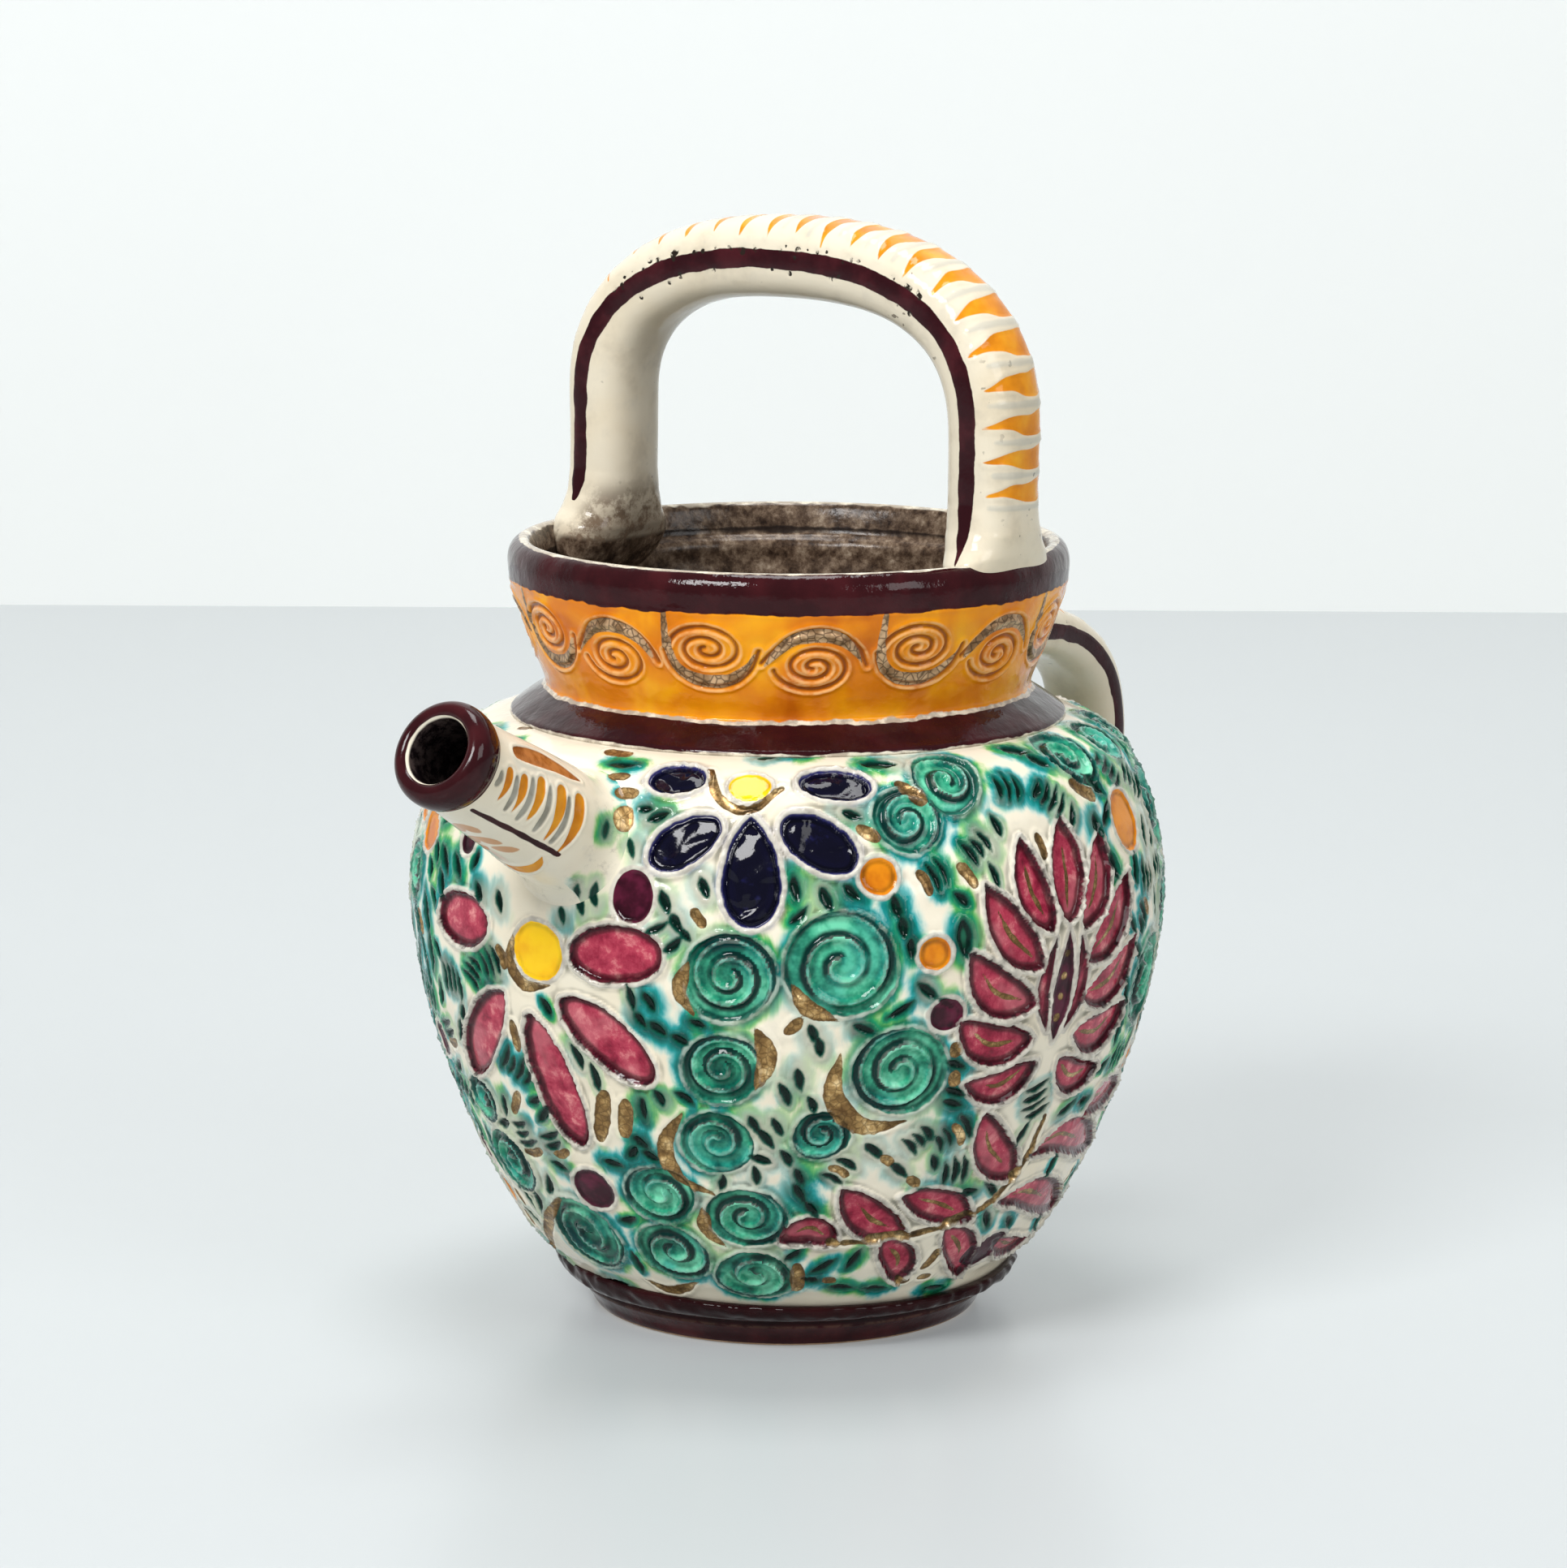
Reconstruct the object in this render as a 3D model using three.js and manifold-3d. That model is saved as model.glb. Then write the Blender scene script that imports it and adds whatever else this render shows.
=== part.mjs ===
// Glazed earthenware jug: round belly on a turned foot, flared neck with an open mouth, a fixed
// overhead handle that stands on the rim, a short tubular spout and an ear handle opposite the spout.
// Millimetres, +Z up. The origin is the centre of the standing ring, on the table.
// The spout points along -Y, the ear handle along +Y, and the overhead handle spans along X.
import * as THREE from 'three';
import { mergeVertices } from 'three/addons/utils/BufferGeometryUtils.js';
import Module from 'manifold-3d';

// ---------------------------------------------------------------- driving dimensions
const SEGMENTS = 44; // facets round every turned piece
const GAP = 0.3; // clearance between one piece and the next

// turned foot
const FOOT_RADIUS = 33.2; // standing ring, outside
const FOOT_BORE = 27.0; // recess under the jug
const FOOT_HEIGHT = 9.0;
const FLANGE_RADIUS = 38.5;

// belly
const BODY_BOTTOM = FOOT_HEIGHT + GAP;
const BODY_TOP = 101.7; // flat seat for the neck
const MOUTH_BORE = 37.6; // opening between belly and neck
const BODY_OUTER = [ // radius, height
  [40.3, 10.9], [44.1, 15.0], [48.4, 22.0], [52.5, 30.0], [55.75, 38.0], [58.65, 46.0], [60.95, 54.0],
  [62.5, 62.0], [63.6, 70.0], [63.2, 77.0], [62.05, 83.0], [60.5, 88.5], [58.7, 93.0], [56.6, 96.5],
  [53.3, 99.2], [50.0, 100.8], [46.2, BODY_TOP],
];
const BODY_INNER = [
  [MOUTH_BORE, BODY_TOP], [MOUTH_BORE, 98.4], [45.5, 97.2], [51.0, 94.6], [55.0, 90.0], [57.6, 84.0],
  [59.4, 77.0], [59.6, 70.0], [58.5, 62.0], [57.0, 54.0], [54.7, 46.0], [51.8, 38.0], [48.5, 30.0],
  [44.3, 22.5], [38.5, 16.2], [33.0, 14.0],
];

// neck
const NECK_BOTTOM = BODY_TOP + GAP;
const RIM_TOP = 131.0;
const NECK_OUTER = [
  [43.2, NECK_BOTTOM], [44.6, 103.2], [40.5, 106.4], [42.2, 111.0], [43.6, 115.0], [45.0, 119.0],
  [46.3, 122.5], [46.85, 126.0], [46.8, 128.6], [46.0, 130.2],
];
const NECK_INNER = [
  [44.5, RIM_TOP], [43.3, 130.4], [42.5, 128.6], [42.0, 126.4], [42.1, 125.5], [40.6, 125.0], [39.9, 123.9],
  [40.1, 121.5], [38.7, 115.0], [37.6, 108.0], [37.5, NECK_BOTTOM],
];

// spout: a tube along its own axis, with a thick rolled lip
const SPOUT_ANGLE = 29; // degrees above level
const SPOUT_BASE = [57.75, 88.2]; // distance from the axis of the jug, and height, of the start of the tube
const SPOUT_BORE = 5.75;
const SPOUT_OUTER = [ // radius, distance along the tube
  [11.4, -9.0], [10.6, 3.0], [9.7, 10.0], [8.9, 18.0], [8.2, 27.0], [7.95, 34.2], [8.7, 35.4], [9.1, 37.2],
  [8.8, 39.0], [7.9, 40.1], [6.9, 40.5], [6.1, 40.1], [SPOUT_BORE, 39.0],
];

// overhead handle
const BAIL_HALF_SPAN = 39.0; // leg centres from the middle of the handle
const BAIL_OFFSET = 2.0; // the handle stands a little off centre, towards +X
const BAIL_APEX = 177.8; // centre of the strap at the top of the arch
const BAIL_SPRING = 150.9; // where the legs start to bend
const BAIL_EXPONENT = 2.46; // squareness of the arch
const BAIL_FOOT = 126.0; // the legs reach down inside the rim
const BAIL_THICK = 12.9;
const BAIL_WIDE = 15.6;
const STRAP_EXPONENT = 2.6; // squareness of the strap section

// ear handle, in the YZ plane: distance from the axis of the jug, height
const EAR_PATH = [
  [36.0, 107.7], [44.0, 107.6], [54.0, 107.4], [64.0, 107.2], [72.5, 106.6], [79.3, 104.6], [85.2, 101.2],
  [89.4, 96.6], [91.5, 90.5], [92.0, 84.0], [91.0, 77.0], [88.3, 70.2], [83.2, 64.2], [76.5, 59.6],
  [69.0, 57.2], [61.0, 56.5], [53.0, 56.3],
];
const EAR_THICK = 9.4;
const EAR_WIDE = 14.6;

// ---------------------------------------------------------------- solids
const wasm = await Module();
wasm.setup();

// A closed mesh as a solid: shared corners merged, flat triangles dropped, faces turned outwards.
function toSolid(geometry) {
  const bare = new THREE.BufferGeometry();
  bare.setAttribute('position', geometry.getAttribute('position').clone());
  if (geometry.index) bare.setIndex(geometry.index.clone());
  const merged = mergeVertices(bare, 1e-4);
  const position = merged.getAttribute('position');
  const corners = Array.from(position.array);
  let faces = [];
  const index = merged.index.array;
  for (let i = 0; i < index.length; i += 3) {
    const [a, b, c] = [index[i], index[i + 1], index[i + 2]];
    if (a !== b && b !== c && c !== a) faces.push([a, b, c]);
  }
  let volume = 0;
  const at = (i) => new THREE.Vector3(corners[3 * i], corners[3 * i + 1], corners[3 * i + 2]);
  for (const [a, b, c] of faces) volume += at(a).dot(at(b).cross(at(c)));
  if (volume < 0) faces = faces.map(([a, b, c]) => [a, c, b]);
  return new wasm.Manifold(new wasm.Mesh({
    numProp: 3, vertProperties: new Float32Array(corners), triVerts: new Uint32Array(faces.flat()),
  }));
}

// A turned solid about +Z from [radius, height] pairs.
function turned(profile, segments = SEGMENTS) {
  const geometry = new THREE.LatheGeometry(profile.map(([r, z]) => new THREE.Vector2(r, z)), segments);
  geometry.rotateX(Math.PI / 2);
  return geometry;
}

const onAxis = (profile) => [[0, profile[0][1]], ...profile, [0, profile[profile.length - 1][1]]];
const closedLoop = (profile) => [...profile, profile[0]];

// The same profile moved outwards by a distance, for a cutter that leaves a gap.
function grown(profile, distance) {
  return profile.map(([r, z], i) => {
    const [r0, z0] = profile[Math.max(i - 1, 0)];
    const [r1, z1] = profile[Math.min(i + 1, profile.length - 1)];
    const length = Math.hypot(r1 - r0, z1 - z0);
    return [r + ((z1 - z0) / length) * distance, z - ((r1 - r0) / length) * distance];
  });
}

// Rounded strap section: x is across the strap, y is through its thickness.
function strapSection(wide, thick, corners) {
  const shape = new THREE.Shape();
  for (let i = 0; i < corners; i++) {
    const a = (2 * Math.PI * (i + 0.5)) / corners;
    const [c, s] = [Math.cos(a), Math.sin(a)];
    const x = (wide / 2) * Math.sign(c) * Math.abs(c) ** (2 / STRAP_EXPONENT);
    const y = (thick / 2) * Math.sign(s) * Math.abs(s) ** (2 / STRAP_EXPONENT);
    if (i === 0) shape.moveTo(x, y);
    else shape.lineTo(x, y);
  }
  shape.closePath();
  return shape;
}

const swept = (section, path, steps) =>
  new THREE.ExtrudeGeometry(section, { steps, extrudePath: path, bevelEnabled: false });

// The arch of the overhead handle: two upright legs and a squarish arch between them.
function bailPath(foot) {
  const points = [];
  for (let i = 0; i <= 3; i++) {
    points.push(new THREE.Vector3(BAIL_HALF_SPAN, 0, foot + ((BAIL_SPRING - foot) * i) / 3));
  }
  const arc = 22;
  for (let i = 1; i < arc; i++) {
    const a = (Math.PI * i) / arc;
    const [c, s] = [Math.cos(a), Math.sin(a)];
    points.push(new THREE.Vector3(
      BAIL_HALF_SPAN * Math.sign(c) * Math.abs(c) ** (2 / BAIL_EXPONENT), 0,
      BAIL_SPRING + (BAIL_APEX - BAIL_SPRING) * s ** (2 / BAIL_EXPONENT)));
  }
  for (let i = 3; i >= 0; i--) {
    points.push(new THREE.Vector3(-BAIL_HALF_SPAN, 0, foot + ((BAIL_SPRING - foot) * i) / 3));
  }
  for (const point of points) point.x += BAIL_OFFSET;
  return new THREE.CatmullRomCurve3(points, false, 'centripetal');
}

const earPath = new THREE.CatmullRomCurve3(
  EAR_PATH.map(([y, z]) => new THREE.Vector3(0, y, z)), false, 'centripetal');

// A solid of the spout's frame, tipped over and moved to the belly.
function alongSpout(geometry) {
  geometry.rotateX(Math.PI / 2 - THREE.MathUtils.degToRad(SPOUT_ANGLE));
  geometry.translate(0, -SPOUT_BASE[0], SPOUT_BASE[1]);
  return toSolid(geometry);
}

// Cutters
const bodyHull = toSolid(turned(onAxis(grown(BODY_OUTER, GAP)))); // the belly, with the gap round it
const neckHull = toSolid(turned(onAxis(grown(NECK_OUTER, GAP))));

// The slip ring at the base of the neck, with the gap round it.
const seamHull = toSolid(turned(closedLoop([
  [41.0, 101.0], [47.2, 101.0], [47.0, 102.3], [46.6, 102.9], [45.3, 103.75], [43.0, 103.6],
])));

// The rim as the handle legs meet it: they stand on its top and run down its inner side.
const rimSeat = toSolid(turned(closedLoop([
  [41.5, 118.0], [60.0, 118.0], [60.0, RIM_TOP + 0.35], [44.7, RIM_TOP + 0.35], [43.0, 130.7],
  [42.2, 128.9], [41.5, 126.6],
])));

// Foot: standing ring, groove and flared flange.
const footRing = toSolid(turned(closedLoop([
  [FOOT_BORE, FOOT_HEIGHT], [FOOT_BORE, 0.5], [FOOT_BORE + 0.5, 0], [FOOT_RADIUS - 0.7, 0],
  [FOOT_RADIUS, 0.7], [FOOT_RADIUS + 0.5, 4.4], [FOOT_RADIUS + 0.2, 4.9], [35.9, 5.4],
  [FLANGE_RADIUS - 0.1, 8.6], [FLANGE_RADIUS, FOOT_HEIGHT],
])));

// Slip squeezed out between the flange and the belly.
const footSeam = toSolid(turned(closedLoop([
  [37.2, BODY_BOTTOM], [38.9, BODY_BOTTOM], [39.7, 9.7], [40.0, 10.4], [37.2, 9.52],
])));

// Belly: a shell, open to the neck, with the way into the spout.
const bodyShell = toSolid(turned([
  [0, BODY_BOTTOM], [35.5, BODY_BOTTOM], ...BODY_OUTER, ...BODY_INNER, [0, 13.8],
]));
const spoutWay = alongSpout(turned([[0, -16], [SPOUT_BORE, -16], [SPOUT_BORE, 12], [0, 12]], 20));
const body = bodyShell.subtract(spoutWay);

// Slip round the joint of neck and belly.
const neckSeam = toSolid(turned(closedLoop([
  [43.95, NECK_BOTTOM], [46.6, NECK_BOTTOM], [46.3, 102.5], [45.1, 103.25],
])));

// Neck with its rounded rim and the ledge inside the mouth.
const neck = toSolid(turned(closedLoop([...NECK_OUTER, ...NECK_INNER])));

// Spout, cut to the belly.
const spoutProfile = [...SPOUT_OUTER, [SPOUT_BORE, -9.0]];
const spout = alongSpout(turned(closedLoop(spoutProfile), 24)).subtract(bodyHull);
const spoutHull = alongSpout(turned(onAxis(grown(SPOUT_OUTER.slice(0, 6), GAP)), 24));
const spoutFillet = alongSpout(turned(onAxis(
  [[13.8, -9.0], [13.1, 1.5], [11.9, 5.0], [11.1, 8.5], [10.45, 12.0]]), 20))
  .subtract(spoutHull).subtract(bodyHull);

// Overhead handle, with its legs cut to the rim.
const bailSection = strapSection(BAIL_WIDE, BAIL_THICK, 16);
const bail = toSolid(swept(bailSection, bailPath(BAIL_FOOT), 34)).subtract(rimSeat);

// Slip smoothed round the foot of each leg.
const insideRim = toSolid(turned(onAxis([[46.8, 120], [46.8, 145]])));
function bailFillet(side) {
  const x = BAIL_OFFSET + side * BAIL_HALF_SPAN;
  const skirt = turned(onAxis([
    [9.0, BAIL_FOOT + 0.4], [9.6, 129.0], [11.2, 131.4], [10.6, 132.3], [9.5, 134.4], [8.95, 138.0],
  ]), 20);
  skirt.scale(0.83, 1, 1);
  skirt.translate(x, 0, 0);
  const leg = new THREE.ExtrudeGeometry(
    strapSection(BAIL_THICK + 2 * GAP, BAIL_WIDE + 2 * GAP, 16), { depth: 40, steps: 1, bevelEnabled: false });
  leg.translate(x, 0, 110);
  return toSolid(skirt).intersect(insideRim).subtract(toSolid(leg)).subtract(rimSeat);
}

// Ear handle, cut to the neck and to the belly.
const ear = toSolid(swept(strapSection(EAR_WIDE, EAR_THICK, 14), earPath, 28))
  .subtract(neckHull).subtract(bodyHull).subtract(seamHull);
const earHull = toSolid(swept(strapSection(EAR_WIDE + 2 * GAP, EAR_THICK + 2 * GAP, 14), earPath, 28));
function earFillet(profile, y, z, tilt) {
  const skirt = turned(onAxis(profile), 20);
  skirt.scale(1, 0.68, 1);
  skirt.rotateX(-Math.PI / 2 + THREE.MathUtils.degToRad(tilt));
  skirt.translate(0, y, z);
  return toSolid(skirt).subtract(earHull).subtract(neckHull).subtract(bodyHull).subtract(seamHull);
}
const earUpper = earFillet([[12.0, 0], [11.4, 4.5], [9.7, 7.0], [8.9, 9.5], [8.5, 13.0]], 38.0, 107.65, -1.3);
const earLower = earFillet([[12.6, 0], [12.0, 6.5], [10.0, 9.0], [9.1, 11.5], [8.7, 14.0]], 56.0, 56.4, 2.5);

// ---------------------------------------------------------------- the jug
const CREAM = 0xe9dfcb;
const jug = new THREE.Group();
jug.name = 'jug';

function add(name, solid, colour, roughness = 0.25, metalness = 0.0) {
  const { numProp, vertProperties, triVerts } = solid.getMesh();
  const corners = [];
  for (let i = 0; i < vertProperties.length; i += numProp) {
    corners.push(vertProperties[i], vertProperties[i + 1], vertProperties[i + 2]);
  }
  const geometry = new THREE.BufferGeometry();
  geometry.setAttribute('position', new THREE.Float32BufferAttribute(corners, 3));
  geometry.setIndex(Array.from(triVerts));
  geometry.computeVertexNormals();
  const mesh = new THREE.Mesh(geometry, new THREE.MeshStandardMaterial({ color: colour, roughness, metalness }));
  mesh.name = name;
  jug.add(mesh);
}

add('foot_ring', footRing, 0x3a1a1c);
add('foot_slip_seam', footSeam, 0xd8c9b0, 0.4);
add('body', body, CREAM);
add('neck_slip_seam', neckSeam, 0x4a3030, 0.4);
add('neck_collar', neck, 0xe08a1e);
add('spout', spout, CREAM);
add('spout_slip_fillet', spoutFillet, CREAM, 0.3);
add('bail_handle', bail, CREAM);
add('bail_slip_fillet_left', bailFillet(-1), CREAM, 0.3);
add('bail_slip_fillet_right', bailFillet(1), CREAM, 0.3);
add('ear_handle', ear, CREAM);
add('ear_slip_fillet_upper', earUpper, CREAM, 0.3);
add('ear_slip_fillet_lower', earLower, CREAM, 0.3);

export default jug;
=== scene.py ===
import math

import bpy
import numpy as np
from mathutils import Matrix


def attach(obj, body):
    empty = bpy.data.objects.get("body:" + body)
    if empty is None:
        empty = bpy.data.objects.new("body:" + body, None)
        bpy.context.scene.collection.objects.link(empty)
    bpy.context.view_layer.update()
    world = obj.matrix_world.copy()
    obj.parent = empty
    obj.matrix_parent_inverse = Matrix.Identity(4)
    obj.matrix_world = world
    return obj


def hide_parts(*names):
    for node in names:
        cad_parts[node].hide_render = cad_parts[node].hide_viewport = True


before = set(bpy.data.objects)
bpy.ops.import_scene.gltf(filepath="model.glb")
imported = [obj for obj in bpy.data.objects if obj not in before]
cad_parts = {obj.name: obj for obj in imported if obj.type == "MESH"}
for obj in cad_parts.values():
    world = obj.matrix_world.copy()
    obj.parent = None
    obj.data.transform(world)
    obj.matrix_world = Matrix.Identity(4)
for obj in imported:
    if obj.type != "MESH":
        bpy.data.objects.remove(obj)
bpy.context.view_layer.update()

MM = 0.001

# ---------------------------------------------------------------- the view
# The camera that the jug is seen from, in mm and in pixels of a 1931 x 1932 frame.
VIEW_F, VIEW_PITCH, VIEW_Z, VIEW_CX = 6924.43, math.radians(10.328), 88.804, 5.08
VIEW_ROLL, VIEW_AZ, VIEW_SCALE = math.radians(0.291), math.radians(36.0), 7.31
RIGHT = np.array([math.cos(VIEW_AZ), math.sin(VIEW_AZ), 0.0])
AWAY = np.array([-math.sin(VIEW_AZ), math.cos(VIEW_AZ), 0.0])
FORWARD = AWAY * math.cos(VIEW_PITCH) - np.array([0, 0, math.sin(VIEW_PITCH)])
UP = AWAY * math.sin(VIEW_PITCH) + np.array([0, 0, math.cos(VIEW_PITCH)])
EYE = np.array([0, 0, VIEW_Z]) - FORWARD * (VIEW_F / VIEW_SCALE) - RIGHT * (VIEW_CX / VIEW_SCALE)

camera_data = bpy.data.cameras.new("view")
camera_data.sensor_fit = 'HORIZONTAL'
camera_data.sensor_width = 36.0
camera_data.lens = 36.0 * VIEW_F / 1931.0
camera_data.clip_start, camera_data.clip_end = 0.05, 20.0
camera = bpy.data.objects.new("view", camera_data)
turn = Matrix((RIGHT, UP, -FORWARD)).transposed().to_4x4()
camera.matrix_world = Matrix.Translation(EYE * MM) @ turn @ Matrix.Rotation(VIEW_ROLL, 4, 'Z')
bpy.context.collection.objects.link(camera)
bpy.context.scene.camera = camera


def view_ray(x, y):
    dx, dy = x - 965.5, y - 966.0
    c, s = math.cos(VIEW_ROLL), math.sin(VIEW_ROLL)
    a, b = c * dx + s * dy, -s * dx + c * dy
    d = RIGHT * (a / VIEW_F) - UP * (b / VIEW_F) + FORWARD
    return d / np.linalg.norm(d)


# ---------------------------------------------------------------- curves
def smooth_path(points, step, closed=False):
    """An even polyline through the points, on a centripetal curve."""
    p = np.asarray(points, float)
    first, last = 2 * p[0] - p[1], 2 * p[-1] - p[-2]
    q = np.vstack([first, p, last])
    out = []
    for i in range(1, len(q) - 2):
        p0, p1, p2, p3 = q[i - 1], q[i], q[i + 1], q[i + 2]
        t0 = 0.0
        t1 = t0 + np.linalg.norm(p1 - p0) ** 0.5
        t2 = t1 + np.linalg.norm(p2 - p1) ** 0.5
        t3 = t2 + np.linalg.norm(p3 - p2) ** 0.5
        n = max(4, int(np.linalg.norm(p2 - p1) / step * 4))
        t = np.linspace(t1, t2, n, endpoint=False)[:, None]
        a1 = (t1 - t) / (t1 - t0) * p0 + (t - t0) / (t1 - t0) * p1
        a2 = (t2 - t) / (t2 - t1) * p1 + (t - t1) / (t2 - t1) * p2
        a3 = (t3 - t) / (t3 - t2) * p2 + (t - t2) / (t3 - t2) * p3
        b1 = (t2 - t) / (t2 - t0) * a1 + (t - t0) / (t2 - t0) * a2
        b2 = (t3 - t) / (t3 - t1) * a2 + (t - t1) / (t3 - t1) * a3
        out.append((t2 - t) / (t2 - t1) * b1 + (t - t1) / (t2 - t1) * b2)
    dense = np.vstack(out + [p[-1:]])
    return even(dense, step)


def even(dense, step):
    s = np.concatenate([[0], np.cumsum(np.linalg.norm(np.diff(dense, axis=0), axis=1))])
    n = max(2, int(round(s[-1] / step)) + 1)
    t = np.linspace(0, s[-1], n)
    return np.column_stack([np.interp(t, s, dense[:, k]) for k in range(dense.shape[1])])


def lengths(p):
    return np.concatenate([[0], np.cumsum(np.linalg.norm(np.diff(p, axis=0), axis=1))])


def step01(x, lo, hi):
    t = np.clip((x - lo) / (hi - lo), 0, 1)
    return t * t * (3 - 2 * t)


def waves(seed, th, s, count, kmin, kmax, radius):
    """Smooth random ripples that close round the jug, about -1 to 1."""
    g = np.random.default_rng(seed)
    total = np.zeros((len(s), len(th)))
    for _ in range(count):
        k = g.uniform(kmin, kmax)
        ang = g.uniform(0, 2 * math.pi)
        m = round(k * math.cos(ang) * radius)
        ks = k * math.sin(ang)
        ph = g.uniform(0, 2 * math.pi)
        total += np.outer(np.cos(ks * s + ph), np.cos(m * th)) - np.outer(np.sin(ks * s + ph), np.sin(m * th))
    return total / math.sqrt(count)


# ---------------------------------------------------------------- meshes
def finish_mesh(name, verts, faces, uvs, attrs):
    mesh = bpy.data.meshes.new(name)
    mesh.from_pydata((np.asarray(verts) * MM).tolist(), [], faces)
    layer = mesh.uv_layers.new(name="OFBake")
    layer.data.foreach_set("uv", np.asarray(uvs, np.float32).ravel())
    for key, values in attrs.items():
        a = mesh.attributes.new(key, 'FLOAT', 'POINT')
        a.data.foreach_set("value", np.asarray(values, np.float32).ravel())
    mesh.shade_smooth()
    mesh.update()
    obj = bpy.data.objects.new(name, mesh)
    bpy.context.collection.objects.link(obj)
    return obj


def grid_mesh(name, pos, attrs, cap_start=None, cap_end=None, drop=None, flip=False, closed=False):
    """A tube of quads: pos is (rows, columns, 3) in mm, columns close on themselves, and rows too if closed."""
    m, n, _ = pos.shape
    verts = pos.reshape(-1, 3)
    idx = np.arange(m * n).reshape(m, n)
    rows = np.vstack([idx, idx[:1]]) if closed else idx
    nxt = np.roll(rows, -1, axis=1)
    quads = np.stack([rows[:-1], nxt[:-1], nxt[1:], rows[1:]], axis=-1)
    k = np.arange(n) / n
    k1 = (np.arange(n) + 1) / n
    row = lengths(np.vstack([pos[:, 0], pos[:1, 0]]) if closed else pos[:, 0])
    v = row / max(row[-1], 1e-9)
    uv = np.empty((len(rows) - 1, n, 4, 2), np.float32)
    uv[..., 0, 0] = k; uv[..., 1, 0] = k1; uv[..., 2, 0] = k1; uv[..., 3, 0] = k
    uv[..., 0, 1] = v[:-1, None]; uv[..., 1, 1] = v[:-1, None]
    uv[..., 2, 1] = v[1:, None]; uv[..., 3, 1] = v[1:, None]
    uv = 0.01 + 0.98 * uv
    if drop is not None:
        keep = ~drop.reshape(-1)
        quads, uv = quads.reshape(-1, 4)[keep], uv.reshape(-1, 4, 2)[keep]
    faces = quads.reshape(-1, 4)
    uvl = [uv.reshape(-1, 2)]
    face_list = (faces[:, ::-1] if flip else faces).tolist()
    if flip:
        uvl = [uv.reshape(-1, 4, 2)[:, ::-1].reshape(-1, 2)]
    extra = []
    for cap, ring, rev in ((cap_start, idx[0], True), (cap_end, idx[-1], False)):
        if cap is None:
            continue
        c = m * n + len(extra)
        extra.append(cap)
        a, b = ring, np.roll(ring, -1)
        tri = np.stack([b, a, np.full(n, c)] if rev != flip else [a, b, np.full(n, c)], axis=-1)
        face_list += tri.tolist()
        edge = 0.0025 if rev else 0.9975
        t = np.empty((n, 3, 2), np.float32)
        t[:, 0, 0] = 0.01 + 0.98 * k; t[:, 1, 0] = 0.01 + 0.98 * k1; t[:, 2, 0] = 0.01 + 0.98 * (k + k1) / 2
        t[:, :2, 1] = 0.01 if rev else 0.99
        t[:, 2, 1] = edge
        uvl.append(t.reshape(-1, 2))
    if extra:
        verts = np.vstack([verts, np.asarray(extra)])
    full = {}
    for key, a in attrs.items():
        a = np.asarray(a, np.float32).reshape(m, n)
        tail = []
        if cap_start is not None:
            tail.append(a[0].mean())
        if cap_end is not None:
            tail.append(a[-1].mean())
        full[key] = np.concatenate([a.ravel(), np.asarray(tail, np.float32)])
    return finish_mesh(name, verts, face_list, np.vstack(uvl), full)


def normals_2d(p):
    t = np.gradient(p, axis=0)
    t /= np.linalg.norm(t, axis=1)[:, None] + 1e-12
    return np.column_stack([t[:, 1], -t[:, 0]])


SEAM = math.radians(126.0)


class Turned:
    """A turned surface with motif distance fields in mm laid over it, and a carved height."""

    def __init__(self, profile, columns, seed):
        self.p = profile
        self.n = columns
        self.s = lengths(profile)
        self.th = SEAM + 2 * math.pi * np.arange(columns) / columns
        self.shape = (len(profile), columns)
        self.f = {}
        self.low = np.zeros(self.shape)
        self.high = np.zeros(self.shape)
        self.body = np.zeros(self.shape)
        rm = float(np.mean(profile[:, 0]))
        self.wob = waves(seed, self.th, self.s, 26, 0.5, 1.6, rm) * 0.06 \
            + waves(seed + 1, self.th, self.s, 26, 2.2, 4.5, rm) * 0.045
        self.busy = np.full(self.shape, 9.0)
        self.wallh = np.zeros(self.shape)

    def field(self, name, start=9.0):
        if name not in self.f:
            self.f[name] = np.full(self.shape, start)
        return self.f[name]

    def s_of_z(self, z):
        return float(np.interp(z, self.p[:, 1], self.s))

    def at(self, x, y):
        """Where the view ray through a frame point meets this surface: angle and arc length."""
        d = view_ray(x, y)
        t = np.linspace(840, 1060, 4401)
        q = EYE + t[:, None] * d
        gap = np.hypot(q[:, 0], q[:, 1]) - np.interp(q[:, 2], self.p[:, 1], self.p[:, 0])
        gap[(q[:, 2] < self.p[0, 1]) | (q[:, 2] > self.p[-1, 1])] = 50
        hit = np.nonzero(gap < 0)[0]
        i = hit[0] if len(hit) else int(np.argmin(gap))
        return math.atan2(q[i, 1], q[i, 0]), self.s_of_z(q[i, 2])

    def window(self, th0, s0, ext):
        rows = np.nonzero(np.abs(self.s - s0) < ext)[0]
        if not len(rows):
            return None
        r = np.maximum(self.p[rows, 0], 4.0)
        dth = 2 * math.pi / self.n
        half = min(self.n // 2 - 1, int(ext / r.min() / dth) + 2)
        k0 = int(round((th0 - SEAM) / dth))
        cols = (k0 + np.arange(-half, half + 1)) % self.n
        dt = (self.th[cols] - th0 + math.pi) % (2 * math.pi) - math.pi
        u = r[:, None] * dt[None, :]
        v = np.broadcast_to((self.s[rows] - s0)[:, None], u.shape)
        return np.ix_(rows, cols), u, v

    def local(self, th0, s0, points):
        """Frame points as (u, v) in mm about a place on the surface."""
        out = []
        for x, y in points:
            th, s = self.at(x, y)
            r = float(np.interp(s, self.s, self.p[:, 0]))
            out.append((((th - th0 + math.pi) % (2 * math.pi) - math.pi) * r, s - s0))
        return out


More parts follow.
